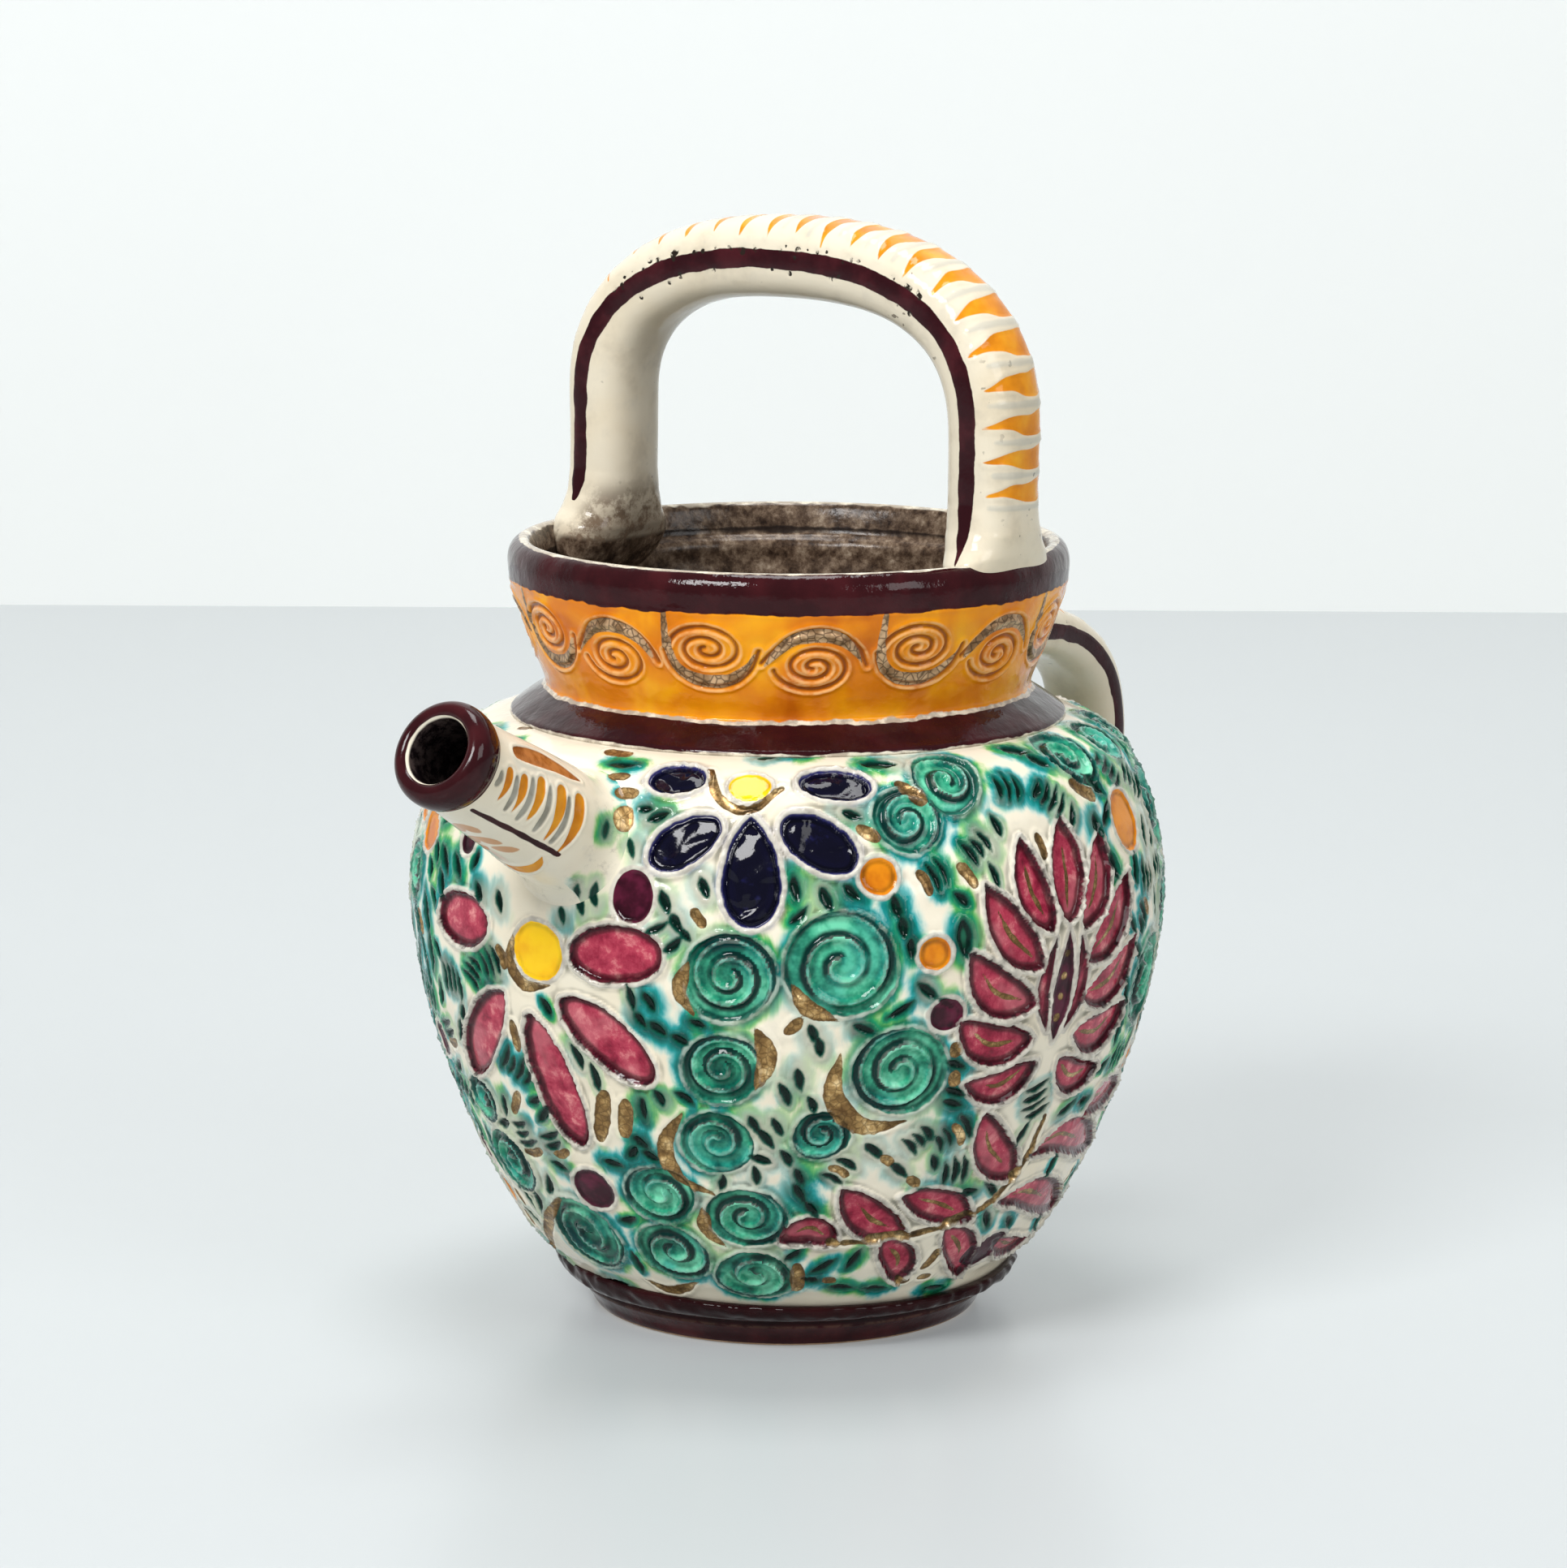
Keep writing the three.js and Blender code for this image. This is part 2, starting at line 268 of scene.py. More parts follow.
PROFILES = {
    "leaf": [(0, .05), (.12, .48), (.3, .9), (.46, 1), (.65, .88), (.84, .5), (1, .04)],
    "drop": [(0, .10), (.15, .42), (.4, .8), (.68, 1), (.84, .92), (.94, .66), (1, .35)],
    "petal": [(0, .30), (.12, .66), (.3, .94), (.5, 1), (.7, .96), (.86, .76), (.95, .5), (1, .25)],
    "even": [(0, .7), (.15, .95), (.5, 1), (.85, .95), (1, .7)],
    "tongue": [(0, .6), (.15, .92), (.35, 1), (.6, .82), (.82, .45), (1, .05)],
    "comma": [(0, .95), (.15, 1), (.4, .85), (.7, .5), (1, .06)],
}


def stroke(u, v, pts, rad):
    best = np.full(u.shape, 99.0)
    for (ax, ay), (bx, by), ra, rb in zip(pts[:-1], pts[1:], rad[:-1], rad[1:]):
        dx, dy = bx - ax, by - ay
        t = np.clip(((u - ax) * dx + (v - ay) * dy) / (dx * dx + dy * dy + 1e-9), 0, 1)
        np.minimum(best, np.hypot(u - ax - t * dx, v - ay - t * dy) - (ra + t * (rb - ra)), out=best)
    return best


def shape_line(points, width, profile):
    """A curved spine through a few points, and its half widths."""
    p = np.asarray(points, float)
    if len(p) > 2:
        p = smooth_path(p, max(0.4, float(np.linalg.norm(np.diff(p, axis=0), axis=1).sum()) / 16))
    else:
        t = np.linspace(0, 1, 13)[:, None]
        p = p[0] * (1 - t) + p[1] * t
    t = lengths(p)
    key = PROFILES[profile]
    # the round ends stay inside the spine's ends
    a, b = key[0][1] * width, key[-1][1] * width
    span = max(t[-1] - a - b, 0.2 * t[-1])
    n = len(p)
    at = a + span * np.linspace(0, 1, n)
    p = np.column_stack([np.interp(at, t, p[:, k]) for k in range(2)])
    w = np.interp(np.linspace(0, 1, n), [k[0] for k in key], [k[1] for k in key]) * width
    return p, w


def lay(skin, th0, s0, points, width, profile, field, depth=0.35, ridge=0.2, halo=0.0, edge=None, wob=1.0):
    """One motif: its distance field, its carving and the bleed of colour round it."""
    pts, rad = shape_line(points, width, profile)
    ext = float(np.abs(pts).max()) + width + 5.0
    win = skin.window(th0, s0, ext)
    if win is None:
        return
    ix, u, v = win
    d = stroke(u, v, pts, rad) + skin.wob[ix] * wob
    put(skin, ix, d, field, depth, ridge, halo, edge)


def put(skin, ix, d, field, depth, ridge, halo, edge=None):
    f = skin.field(field)
    f[ix] = np.minimum(f[ix], d)
    skin.busy[ix] = np.minimum(skin.busy[ix], d)
    skin.low[ix] = np.minimum(skin.low[ix], -depth * (1 - step01(d, -0.75, 0.12)))
    skin.high[ix] = np.maximum(skin.high[ix], ridge * np.exp(-((d - 0.42) / 0.36) ** 2))
    if edge:
        e = skin.field(edge)
        e[ix] = np.minimum(e[ix], d)
    if halo > 0:
        h = skin.field("halo", 1.0)
        h[ix] = np.minimum(h[ix], np.clip(d / halo, 0, 1))


def round_dot(skin, th0, s0, ru, rv, field, depth=0.25, ridge=0.25, tilt=0.0, halo=0.0, edge=None):
    win = skin.window(th0, s0, max(ru, rv) + 5.0)
    if win is None:
        return
    ix, u, v = win
    c, s = math.cos(tilt), math.sin(tilt)
    a, b = c * u + s * v, -s * u + c * v
    q = np.hypot(a / ru, b / rv)
    g = np.hypot(a / ru ** 2, b / rv ** 2) + 1e-6
    d = np.where(q < 0.3, -min(ru, rv) * (1 - q), q * (q - 1) / g) + skin.wob[ix]
    put(skin, ix, d, field, depth, ridge, halo, edge)


def spine_of(u, v, pts):
    """Distance to a polyline, the side it lies on (+ left of travel) and how far along it is."""
    best = np.full(u.shape, 99.0)
    side = np.zeros(u.shape)
    along = np.zeros(u.shape)
    run = lengths(pts)
    for i in range(len(pts) - 1):
        (ax, ay), (bx, by) = pts[i], pts[i + 1]
        dx, dy = bx - ax, by - ay
        t = np.clip(((u - ax) * dx + (v - ay) * dy) / (dx * dx + dy * dy + 1e-9), 0, 1)
        ex, ey = u - ax - t * dx, v - ay - t * dy
        d = np.hypot(ex, ey)
        m = d < best
        best = np.where(m, d, best)
        side = np.where(m, np.sign(dx * ey - dy * ex), side)
        along = np.where(m, run[i] + t * (run[i + 1] - run[i]), along)
    return best, side, along


def spiral(skin, th0, s0, radius, hand, start, turns, aspect=1.0, tilt=0.0, halo=3.4):
    """A green curl: a round glazed pool with a thin toothed wall that winds inwards."""
    a = np.linspace(0, turns * 2 * math.pi, int(34 * turns))
    r0 = 0.10 * radius + 0.2
    rho = r0 + (0.985 * radius - r0) * (a / a[-1]) ** 1.05
    x = rho * np.cos(hand * a + start)
    y = rho * np.sin(hand * a + start) * aspect
    c, s = math.cos(tilt), math.sin(tilt)
    pts = np.column_stack([c * x - s * y, s * x + c * y])
    win = skin.window(th0, s0, radius + 7.0)
    if win is None:
        return
    ix, u, v = win
    line, side, along = spine_of(u, v, pts)
    xx, yy = c * u + s * v, (-s * u + c * v) / aspect
    ang = np.arctan2(yy, xx)
    edge = radius * (1 + 0.035 * np.sin(2 * ang + start) + 0.02 * np.sin(3 * ang + 2 * start))
    disc = np.hypot(xx, yy) - edge + skin.wob[ix] * 1.3
    f = skin.field("disc")
    better = disc < f[ix]
    f[ix] = np.minimum(f[ix], disc)
    teeth = 0.5 + 0.5 * np.sin(along * 2 * math.pi / 1.25 + 1.5 * np.sin(along * 0.9))
    # outside of the wall is positive
    turned_out = np.where(side * hand < 0, 1.0, -1.0) * line
    # distance from the wall on its outer side, where the curl's painted shade lies
    g = skin.field("groove")
    g[ix] = np.where(better, np.where(turned_out > 0, line + 0.6 * skin.wob[ix], 9.0), g[ix])
    e = skin.field("wall")
    e[ix] = np.where(better, line + 0.5 * skin.wob[ix] + 0.14 * teeth, e[ix])
    skin.busy[ix] = np.minimum(skin.busy[ix], disc)
    inside_ = 1 - step01(disc, -0.6, 0.1)
    skin.low[ix] = np.minimum(skin.low[ix], -0.52 * inside_ * step01(line, 0.15, 0.9))
    ridge = (0.20 + 0.16 * teeth) * np.exp(-(line / 0.38) ** 2)
    skin.wallh[ix] = np.maximum(skin.wallh[ix], ridge * (1 - step01(disc, -0.2, 0.4)))
    skin.high[ix] = np.maximum(skin.high[ix], 0.34 * np.exp(-((disc - 0.35) / 0.34) ** 2))
    h = skin.field("halo", 1.0)
    h[ix] = np.minimum(h[ix], np.clip(disc / halo, 0, 1))


# ---------------------------------------------------------------- materials
class Paint:
    """A small helper that wires procedural nodes."""

    def __init__(self, name):
        self.m = bpy.data.materials.new(name)
        self.m.use_nodes = True
        self.t = self.m.node_tree
        self.t.nodes.clear()
        self.out = self.t.nodes.new("ShaderNodeOutputMaterial")
        self.b = self.t.nodes.new("ShaderNodeBsdfPrincipled")
        self.t.links.new(self.b.outputs[0], self.out.inputs[0])
        self.coord = self.t.nodes.new("ShaderNodeTexCoord").outputs["Object"]

    def link(self, value, socket):
        if isinstance(value, (int, float)):
            socket.default_value = value
        elif isinstance(value, (tuple, list)):
            socket.default_value = tuple(value) + ((1.0,) if len(value) == 3 else ())
        else:
            self.t.links.new(value, socket)

    def attr(self, name):
        n = self.t.nodes.new("ShaderNodeAttribute")
        n.attribute_name = name
        return n.outputs["Fac"]

    def noise(self, scale, detail=3.0, rough=0.55, distort=0.0, vec=None):
        n = self.t.nodes.new("ShaderNodeTexNoise")
        n.inputs["Scale"].default_value = scale
        n.inputs["Detail"].default_value = detail
        n.inputs["Roughness"].default_value = rough
        n.inputs["Distortion"].default_value = distort
        self.t.links.new(vec or self.coord, n.inputs["Vector"])
        return n.outputs["Fac"]

    def stretch(self, sx, sy, sz):
        n = self.t.nodes.new("ShaderNodeVectorMath")
        n.operation = 'MULTIPLY'
        self.t.links.new(self.coord, n.inputs[0])
        n.inputs[1].default_value = (sx, sy, sz)
        return n.outputs[0]

    def cells(self, scale, feature='DISTANCE_TO_EDGE'):
        n = self.t.nodes.new("ShaderNodeTexVoronoi")
        n.feature = feature
        n.inputs["Scale"].default_value = scale
        self.t.links.new(self.coord, n.inputs["Vector"])
        return n.outputs["Distance"]

    def math(self, op, a, b=None, clamp=False):
        n = self.t.nodes.new("ShaderNodeMath")
        n.operation = op
        n.use_clamp = clamp
        self.link(a, n.inputs[0])
        if b is not None:
            self.link(b, n.inputs[1])
        return n.outputs[0]

    def span(self, x, lo, hi, a=0.0, b=1.0):
        n = self.t.nodes.new("ShaderNodeMapRange")
        n.interpolation_type = 'SMOOTHSTEP'
        self.link(x, n.inputs["Value"])
        n.inputs["From Min"].default_value = lo
        n.inputs["From Max"].default_value = hi
        n.inputs["To Min"].default_value = a
        n.inputs["To Max"].default_value = b
        return n.outputs["Result"]

    def mix(self, fac, a, b):
        n = self.t.nodes.new("ShaderNodeMix")
        n.data_type = 'RGBA'
        self.link(fac, n.inputs[0])
        self.link(a, n.inputs[6])
        self.link(b, n.inputs[7])
        return n.outputs[2]

    def darken(self, fac, a, by):
        n = self.t.nodes.new("ShaderNodeMix")
        n.data_type = 'RGBA'
        n.blend_type = 'MULTIPLY'
        self.link(fac, n.inputs[0])
        self.link(a, n.inputs[6])
        self.link(by, n.inputs[7])
        return n.outputs[2]

    def ramp(self, fac, stops):
        n = self.t.nodes.new("ShaderNodeValToRGB")
        e = n.color_ramp.elements
        while len(e) < len(stops):
            e.new(0.5)
        for el, (pos, col) in zip(e, stops):
            el.position = pos
            el.color = tuple(col) + (1.0,)
        self.link(fac, n.inputs[0])
        return n.outputs[0]

    def inside(self, name, soft=0.12, shift=0.0):
        return self.span(self.math('ADD', self.attr(name), shift), soft, -soft)

    def times(self, a, b):
        return self.math('MULTIPLY', a, b)

    def bump(self, height, strength, distance, after=None):
        n = self.t.nodes.new("ShaderNodeBump")
        n.inputs["Strength"].default_value = strength
        n.inputs["Distance"].default_value = distance
        self.link(height, n.inputs["Height"])
        if after is not None:
            self.t.links.new(after, n.inputs["Normal"])
        return n.outputs["Normal"]

    def close(self, color, rough, metal=None, normal=None, level=0.20):
        self.link(color, self.b.inputs["Base Color"])
        self.link(rough, self.b.inputs["Roughness"])
        if metal is not None:
            self.link(metal, self.b.inputs["Metallic"])
        if normal is not None:
            self.t.links.new(normal, self.b.inputs["Normal"])
        self.b.inputs["IOR"].default_value = 1.50
        self.b.inputs["Specular IOR Level"].default_value = level
        return self.m


CREAM, CREAM_WARM, CREAM_GREY = (0.82, 0.755, 0.61), (0.765, 0.665, 0.485), (0.60, 0.565, 0.48)
MAROON, MAROON_LIGHT = (0.026, 0.0040, 0.0055), (0.062, 0.0105, 0.0120)


def cream_ground(p, warm=0.6):
    n1 = p.span(p.noise(55, 3), 0.38, 0.74)
    n2 = p.span(p.noise(190, 4, 0.6), 0.54, 0.80)
    c = p.mix(p.times(n1, warm), CREAM, CREAM_WARM)
    return p.mix(p.times(n2, 0.35), c, CREAM_GREY)


def glaze_bump(p, amount=1.0):
    soft = p.bump(p.noise(85, 2, 0.4), 0.35 * amount, 0.0012)
    return p.bump(p.noise(700, 3, 0.55), 0.16 * amount, 0.0003, soft)


def bleed(p, col):
    """Green and turquoise that ran out of the carved strokes into the ground."""
    run = p.stretch(1.0, 1.0, 0.45)
    h = p.math('ADD', p.attr("halo"), p.math('MULTIPLY', p.math('SUBTRACT', p.noise(300, 3, 0.62, 0.5, run), 0.5), 0.85))
    cool = p.ramp(h, [(0.0, (0.002, 0.070, 0.060)), (0.24, (0.005, 0.185, 0.165)), (0.50, (0.030, 0.390, 0.400)), (0.80, (0.32, 0.68, 0.67))])
    leafy = p.ramp(h, [(0.0, (0.003, 0.105, 0.055)), (0.24, (0.010, 0.250, 0.105)), (0.50, (0.110, 0.450, 0.095)), (0.80, (0.58, 0.70, 0.30))])
    tint = p.mix(p.span(p.noise(120, 2, 0.5, 0.5, run), 0.44, 0.58), cool, leafy)
    hold = p.times(p.span(h, 0.88, 0.34), p.span(p.noise(70, 2, 0.5, 0.0, run), 0.36, 0.56, 0.40, 1.0))
    return p.mix(hold, col, tint)


def dashes(p, col):
    """Dark green carved strokes."""
    dd = p.math('ADD', p.attr("dash"), p.math('MULTIPLY', p.math('SUBTRACT', p.noise(560, 3), 0.5), 0.55))
    leaf = p.ramp(p.math('MULTIPLY', dd, -0.9), [
        (0.0, (0.003, 0.080, 0.050)), (0.30, (0.0010, 0.022, 0.015)), (0.75, (0.0016, 0.042, 0.027)), (1.0, (0.012, 0.15, 0.080))])
    return p.mix(p.span(dd, 0.34, -0.16), col, leaf)


def lustre(p, col):
    """Bronze and gold lustre with a fine crackle and brighter flakes."""
    au = p.span(p.math('ADD', p.attr("gold"), p.math('MULTIPLY', p.math('SUBTRACT', p.noise(520, 3), 0.5), 0.35)), 0.10, -0.10)
    crack = p.span(p.cells(800), 0.0, 0.14, 0.50, 1.0)
    lus = p.ramp(p.noise(330, 4, 0.62), [(0.32, (0.150, 0.080, 0.028)), (0.48, (0.300, 0.175, 0.062)), (0.57, (0.520, 0.330, 0.130)), (0.67, (0.900, 0.660, 0.340))])
    lus = p.mix(crack, (0.060, 0.032, 0.012), lus)
    edge = p.times(p.span(p.attr("gold"), -0.55, -0.05), 0.55)
    lus = p.mix(edge, lus, (0.085, 0.045, 0.016))
    return p.mix(au, col, lus), au


def decorated_material():
    p = Paint("carved_painted_glaze")
    col = cream_ground(p)
    col = bleed(p, col)
    # violet bleed round the blue petals
    cb = p.attr("cob")
    drip = p.math('ADD', cb, p.math('MULTIPLY', p.math('SUBTRACT', p.noise(220, 3), 0.5), 2.4))
    col = p.mix(p.times(p.span(drip, 1.4, 0.2), 0.62), col, (0.20, 0.22, 0.42))
    # pale, dirty raised outline round the carved petals
    rim = p.attr("rim")
    line = p.times(p.span(rim, 1.05, 0.55), p.span(p.noise(330, 3), 0.34, 0.62, 0.15, 0.8))
    col = p.mix(p.times(p.span(rim, 1.0, 0.5), 0.8), col, (0.72, 0.68, 0.60))
    col = p.mix(line, col, (0.36, 0.325, 0.275))
    # green curls, with painted shade beside the outer side of each wall, a painted highlight on the wall's crest and
    # painted light in the middle of each channel
    g = p.attr("groove")
    wall = p.attr("wall")
    disc = p.attr("disc")
    gn = p.noise(125, 4, 0.66)
    curl = p.ramp(gn, [(0.34, (0.001, 0.038, 0.034)), (0.43, (0.004, 0.140, 0.088)), (0.52, (0.028, 0.325, 0.185)), (0.62, (0.180, 0.640, 0.410))])
    curl = p.mix(p.times(p.span(p.noise(90, 2), 0.46, 0.58), 0.70), curl, p.mix(p.span(gn, 0.38, 0.60), (0.001, 0.045, 0.048), (0.018, 0.325, 0.265)))
    jit = p.math('MULTIPLY', p.math('SUBTRACT', p.noise(380, 3), 0.5), 0.6)
    gs = p.math('ADD', g, jit)
    # lighter green away from the wall: painted light across the channel
    pool = p.span(p.math('ADD', wall, jit), 0.75, 1.6)
    curl = p.mix(p.times(pool, 0.40), curl, p.mix(p.span(gn, 0.34, 0.62), (0.007, 0.225, 0.130), (0.130, 0.590, 0.370)))
    shade = p.times(p.span(gs, 1.75, 0.90), p.span(p.noise(110, 3), 0.38, 0.52, 0.30, 1.0))
    curl = p.mix(p.times(shade, 0.97), curl, (0.0008, 0.020, 0.018))
    ring = p.times(p.span(p.math('ADD', disc, jit), -0.95, -0.40), p.span(p.noise(110, 2), 0.40, 0.56, 0.25, 0.85))
    curl = p.mix(ring, curl, (0.0020, 0.045, 0.038))
    # pale mint on the top of the wall: a painted highlight
    crest_highlight = p.times(p.span(wall, 0.36, 0.16), p.span(p.noise(520, 2), 0.40, 0.62, 0.05, 0.80))
    curl = p.mix(p.times(p.times(crest_highlight, 0.60), p.span(disc, -0.1, -0.6)), curl, (0.20, 0.60, 0.49))
    dj = p.math('ADD', disc, p.math('MULTIPLY', p.math('SUBTRACT', p.noise(420, 2), 0.5), 0.5))
    lip = p.times(p.times(p.span(disc, 1.0, 0.5), p.span(p.noise(240, 3), 0.42, 0.62, 0.0, 0.85)), 0.6)
    col = p.mix(lip, col, (0.56, 0.66, 0.56))
    col = p.mix(p.span(dj, 0.22, -0.02), col, curl)
    col = dashes(p, col)
    # crimson leaves and petals
    c = p.attr("crim")
    mott = p.noise(290, 5, 0.66, 0.25)
    red = p.ramp(mott, [(0.28, (0.130, 0.0070, 0.020)), (0.42, (0.300, 0.0170, 0.046)), (0.55, (0.455, 0.050, 0.088)), (0.70, (0.72, 0.26, 0.26))])
    red = p.mix(p.times(p.span(p.noise(105, 3, 0.55), 0.50, 0.66), 0.50), red, (0.56, 0.165, 0.19))
    red = p.mix(p.span(c, -1.10, -0.25, 0.0, 0.85), red, (0.050, 0.004, 0.012))
    col = p.mix(p.span(c, 0.10, -0.10), col, red)
    tooth = p.times(p.span(p.math('ABSOLUTE', p.math('ADD', c, 0.05)), 0.46, 0.16), p.span(p.noise(640, 2, 0.5), 0.50, 0.58))
    col = p.mix(p.times(tooth, 0.85), col, (0.022, 0.006, 0.009))
    # plum drops
    pl = p.attr("plum")
    wine = p.mix(p.span(p.noise(240, 3), 0.4, 0.65), (0.034, 0.004, 0.011), (0.095, 0.010, 0.030))
    col = p.mix(p.span(pl, 0.10, -0.10), col, wine)
    # blue petals
    blue = p.ramp(p.math('MULTIPLY', cb, -0.42), [
        (0.0, (0.030, 0.030, 0.130)), (0.16, (0.008, 0.008, 0.055)), (0.40, (0.0032, 0.0030, 0.016)), (1.0, (0.0026, 0.0024, 0.010))])
    blue = p.mix(p.span(p.noise(260, 3, 0.6), 0.60, 0.76, 0.0, 0.7), blue, (0.014, 0.014, 0.085))
    col = p.mix(p.span(cb, 0.10, -0.10), col, blue)
    # yellow and orange
    y = p.attr("yel")
    sun = p.mix(p.span(p.noise(160, 3), 0.42, 0.68), (0.98, 0.600, 0.010), (0.88, 0.43, 0.004))
    col = p.mix(p.span(y, 0.12, -0.10), col, sun)
    o = p.attr("oran")
    amber = p.mix(p.span(p.noise(200, 3), 0.42, 0.66), (0.74, 0.250, 0.008), (0.56, 0.150, 0.005))
    col = p.mix(p.span(o, 0.10, -0.10), col, amber)
    col, au = lustre(p, col)
    # glaze is thick and dark in the cuts, thin and pale on the crests; the darkening in the cuts is also painted shade,
    # and the paling on the crests is also a painted highlight
    col = p.darken(p.times(p.times(p.span(p.attr("pooled_glaze_and_shade"), 0.10, 0.85), 0.80), p.span(disc, -0.7, 0.1, 0.30, 1.0)), col, (0.16, 0.17, 0.16))
    # pale on the crests of the relief: thin glaze with a painted highlight
    thin = p.times(p.times(p.span(p.attr("thin_glaze_and_highlight"), 0.30, 0.95), p.times(p.span(disc, 0.2, 1.6, 0.25, 1.0), p.span(p.attr("dash"), 0.3, 1.5))), p.span(p.noise(420, 3), 0.36, 0.60, 0.10, 0.50))
    col = p.mix(thin, col, (0.74, 0.71, 0.60))
    # soiled inside, bare clay underneath
    soil_and_shade = p.ramp(p.noise(260, 5, 0.7), [(0.33, (0.030, 0.021, 0.015)), (0.46, (0.095, 0.067, 0.048)), (0.60, (0.20, 0.155, 0.115)), (0.78, (0.40, 0.34, 0.27))])
    col = p.mix(p.span(p.attr("inner"), 0.4, 0.6), col, soil_and_shade)
    clay = p.ramp(p.noise(420, 5, 0.65), [(0.3, (0.30, 0.17, 0.095)), (0.55, (0.46, 0.29, 0.175)), (0.75, (0.58, 0.41, 0.27))])
    bare = p.span(p.attr("bare"), 0.4, 0.6)
    col = p.mix(bare, col, clay)
    rough = p.math('ADD', p.span(p.noise(130, 3), 0.35, 0.7, 0.04, 0.11), p.math('ADD', p.times(au, 0.22), p.times(bare, 0.6)))
    metal = p.times(au, 0.50)
    ripple = p.times(p.noise(135, 1, 0.4, 1.0), p.span(cb, -0.1, -0.9))
    return p.close(col, rough, metal, p.bump(ripple, 0.75, 0.0024, glaze_bump(p)))


def neck_material():
    p = Paint("orange_scroll_glaze")
    mott = p.noise(80, 3, 0.55, 0.4)
    col = p.ramp(mott, [(0.28, (0.52, 0.115, 0.003)), (0.44, (0.69, 0.195, 0.004)), (0.58, (0.80, 0.285, 0.004)), (0.76, (0.90, 0.430, 0.008))])
    g = p.attr("line")
    col = p.mix(p.span(g, 0.55, 0.05, 0.0, 0.9), col, (0.24, 0.055, 0.004))
    edge = p.times(p.span(g, 0.35, 0.62), p.span(g, 1.10, 0.75))
    col = p.mix(p.times(edge, p.span(p.noise(380, 3), 0.32, 0.6, 0.10, 0.75)), col, (0.84, 0.47, 0.19))
    au = p.span(p.attr("gold"), 0.10, -0.10)
    crack = p.span(p.cells(800), 0.0, 0.15, 0.25, 1.0)
    lus = p.mix(p.span(p.noise(300, 3), 0.36, 0.62), (0.260, 0.148, 0.068), (0.60, 0.400, 0.230))
    lus = p.mix(crack, (0.05, 0.026, 0.012), lus)
    col = p.mix(au, col, lus)
    cr = cream_ground(p)
    jag = p.math('MULTIPLY', p.math('SUBTRACT', p.noise(420, 3, 0.65), 0.5), 1.1)
    cream = p.span(p.math('ADD', p.attr("cream"), jag), 0.16, -0.16)
    col = p.mix(cream, col, p.mix(p.span(p.noise(330, 4, 0.65), 0.36, 0.58, 0.15, 0.85), cr, (0.33, 0.27, 0.21)))
    brown = p.span(p.math('ADD', p.attr("brown"), p.math('MULTIPLY', jag, 0.35)), 0.10, -0.10)
    dark = p.mix(p.span(p.noise(140, 3), 0.4, 0.7), MAROON, (0.044, 0.0065, 0.0085))
    col = p.mix(brown, col, dark)
    grime = p.span(p.attr("inner"), 0.25, -0.25)
    soil_and_shade = p.ramp(p.noise(420, 5, 0.7), [(0.33, (0.020, 0.011, 0.007)), (0.46, (0.072, 0.045, 0.029)), (0.58, (0.165, 0.115, 0.078)), (0.75, (0.38, 0.305, 0.225))])
    col = p.mix(grime, col, soil_and_shade)
    # near-black band of painted shade in the corner under the inner ledge of the mouth
    shade_and_darker_band = p.span(p.attr("groove"), 0.35, -0.1)
    col = p.mix(p.times(shade_and_darker_band, 0.9), col, (0.010, 0.006, 0.005))
    rough = p.math('ADD', p.span(p.noise(130, 3), 0.35, 0.7, 0.04, 0.10), p.math('ADD', p.times(au, 0.28), p.times(grime, 0.18)))
    return p.close(col, rough, p.times(au, 0.4), glaze_bump(p, 1.9))


def handle_material():
    p = Paint("handle_glaze")
    col = p.mix(p.span(p.noise(110, 4, 0.65), 0.52, 0.74, 0.0, 0.35), cream_ground(p, 0.9), (0.47, 0.42, 0.34))
    col = p.darken(1.0, col, (0.885, 0.865, 0.84))
    # dark specks and a brown tint on the inner faces near the roots: dirt, with painted shade where the faces turn in
    soot_and_shade = p.span(p.attr("soil_and_shade"), 0.0, 1.0)
    spots = p.span(p.noise(210, 6, 0.72), 0.40, 0.56)
    col = p.mix(p.times(soot_and_shade, spots), col, (0.075, 0.046, 0.029))
    col = p.mix(p.times(soot_and_shade, 0.42), col, (0.26, 0.185, 0.120))
    grime = p.ramp(p.noise(420, 5, 0.7), [(0.33, (0.020, 0.011, 0.007)), (0.46, (0.072, 0.045, 0.029)), (0.58, (0.165, 0.115, 0.078)), (0.75, (0.38, 0.305, 0.225))])
    col = p.mix(p.span(p.attr("soil_and_shade"), 0.75, 1.35), col, grime)
    speck = p.times(p.span(p.noise(620, 2, 0.5), 0.69, 0.73), p.span(p.noise(60, 2), 0.48, 0.62, 0.0, 0.75))
    col = p.mix(speck, col, (0.10, 0.078, 0.058))
    gr = p.span(p.attr("grey"), 0.30, -0.20)
    col = p.mix(p.times(gr, 0.45), col, (0.42, 0.43, 0.39))
    o = p.attr("oran")
    amber = p.ramp(p.noise(170, 3), [(0.3, (0.56, 0.17, 0.006)), (0.5, (0.72, 0.255, 0.010)), (0.72, (0.80, 0.36, 0.020))])
    col = p.mix(p.span(o, 0.10, -0.08), col, amber)
    ln = p.math('ADD', p.attr("line"), p.math('MULTIPLY', p.math('SUBTRACT', p.noise(520, 3), 0.5), 0.35))
    dark = p.mix(p.span(p.noise(160, 3), 0.4, 0.7), (0.026, 0.0038, 0.0060), (0.055, 0.0085, 0.012))
    col = p.mix(p.span(ln, 0.08, -0.08), col, dark)
    pin = p.math('MULTIPLY', p.span(p.attr("pits"), 0.05, -0.05), p.span(p.noise(900, 2), 0.40, 0.55))
    col = p.mix(pin, col, (0.020, 0.014, 0.010))
    return p.close(col, p.span(p.noise(130, 3), 0.35, 0.7, 0.05, 0.13), None, glaze_bump(p))


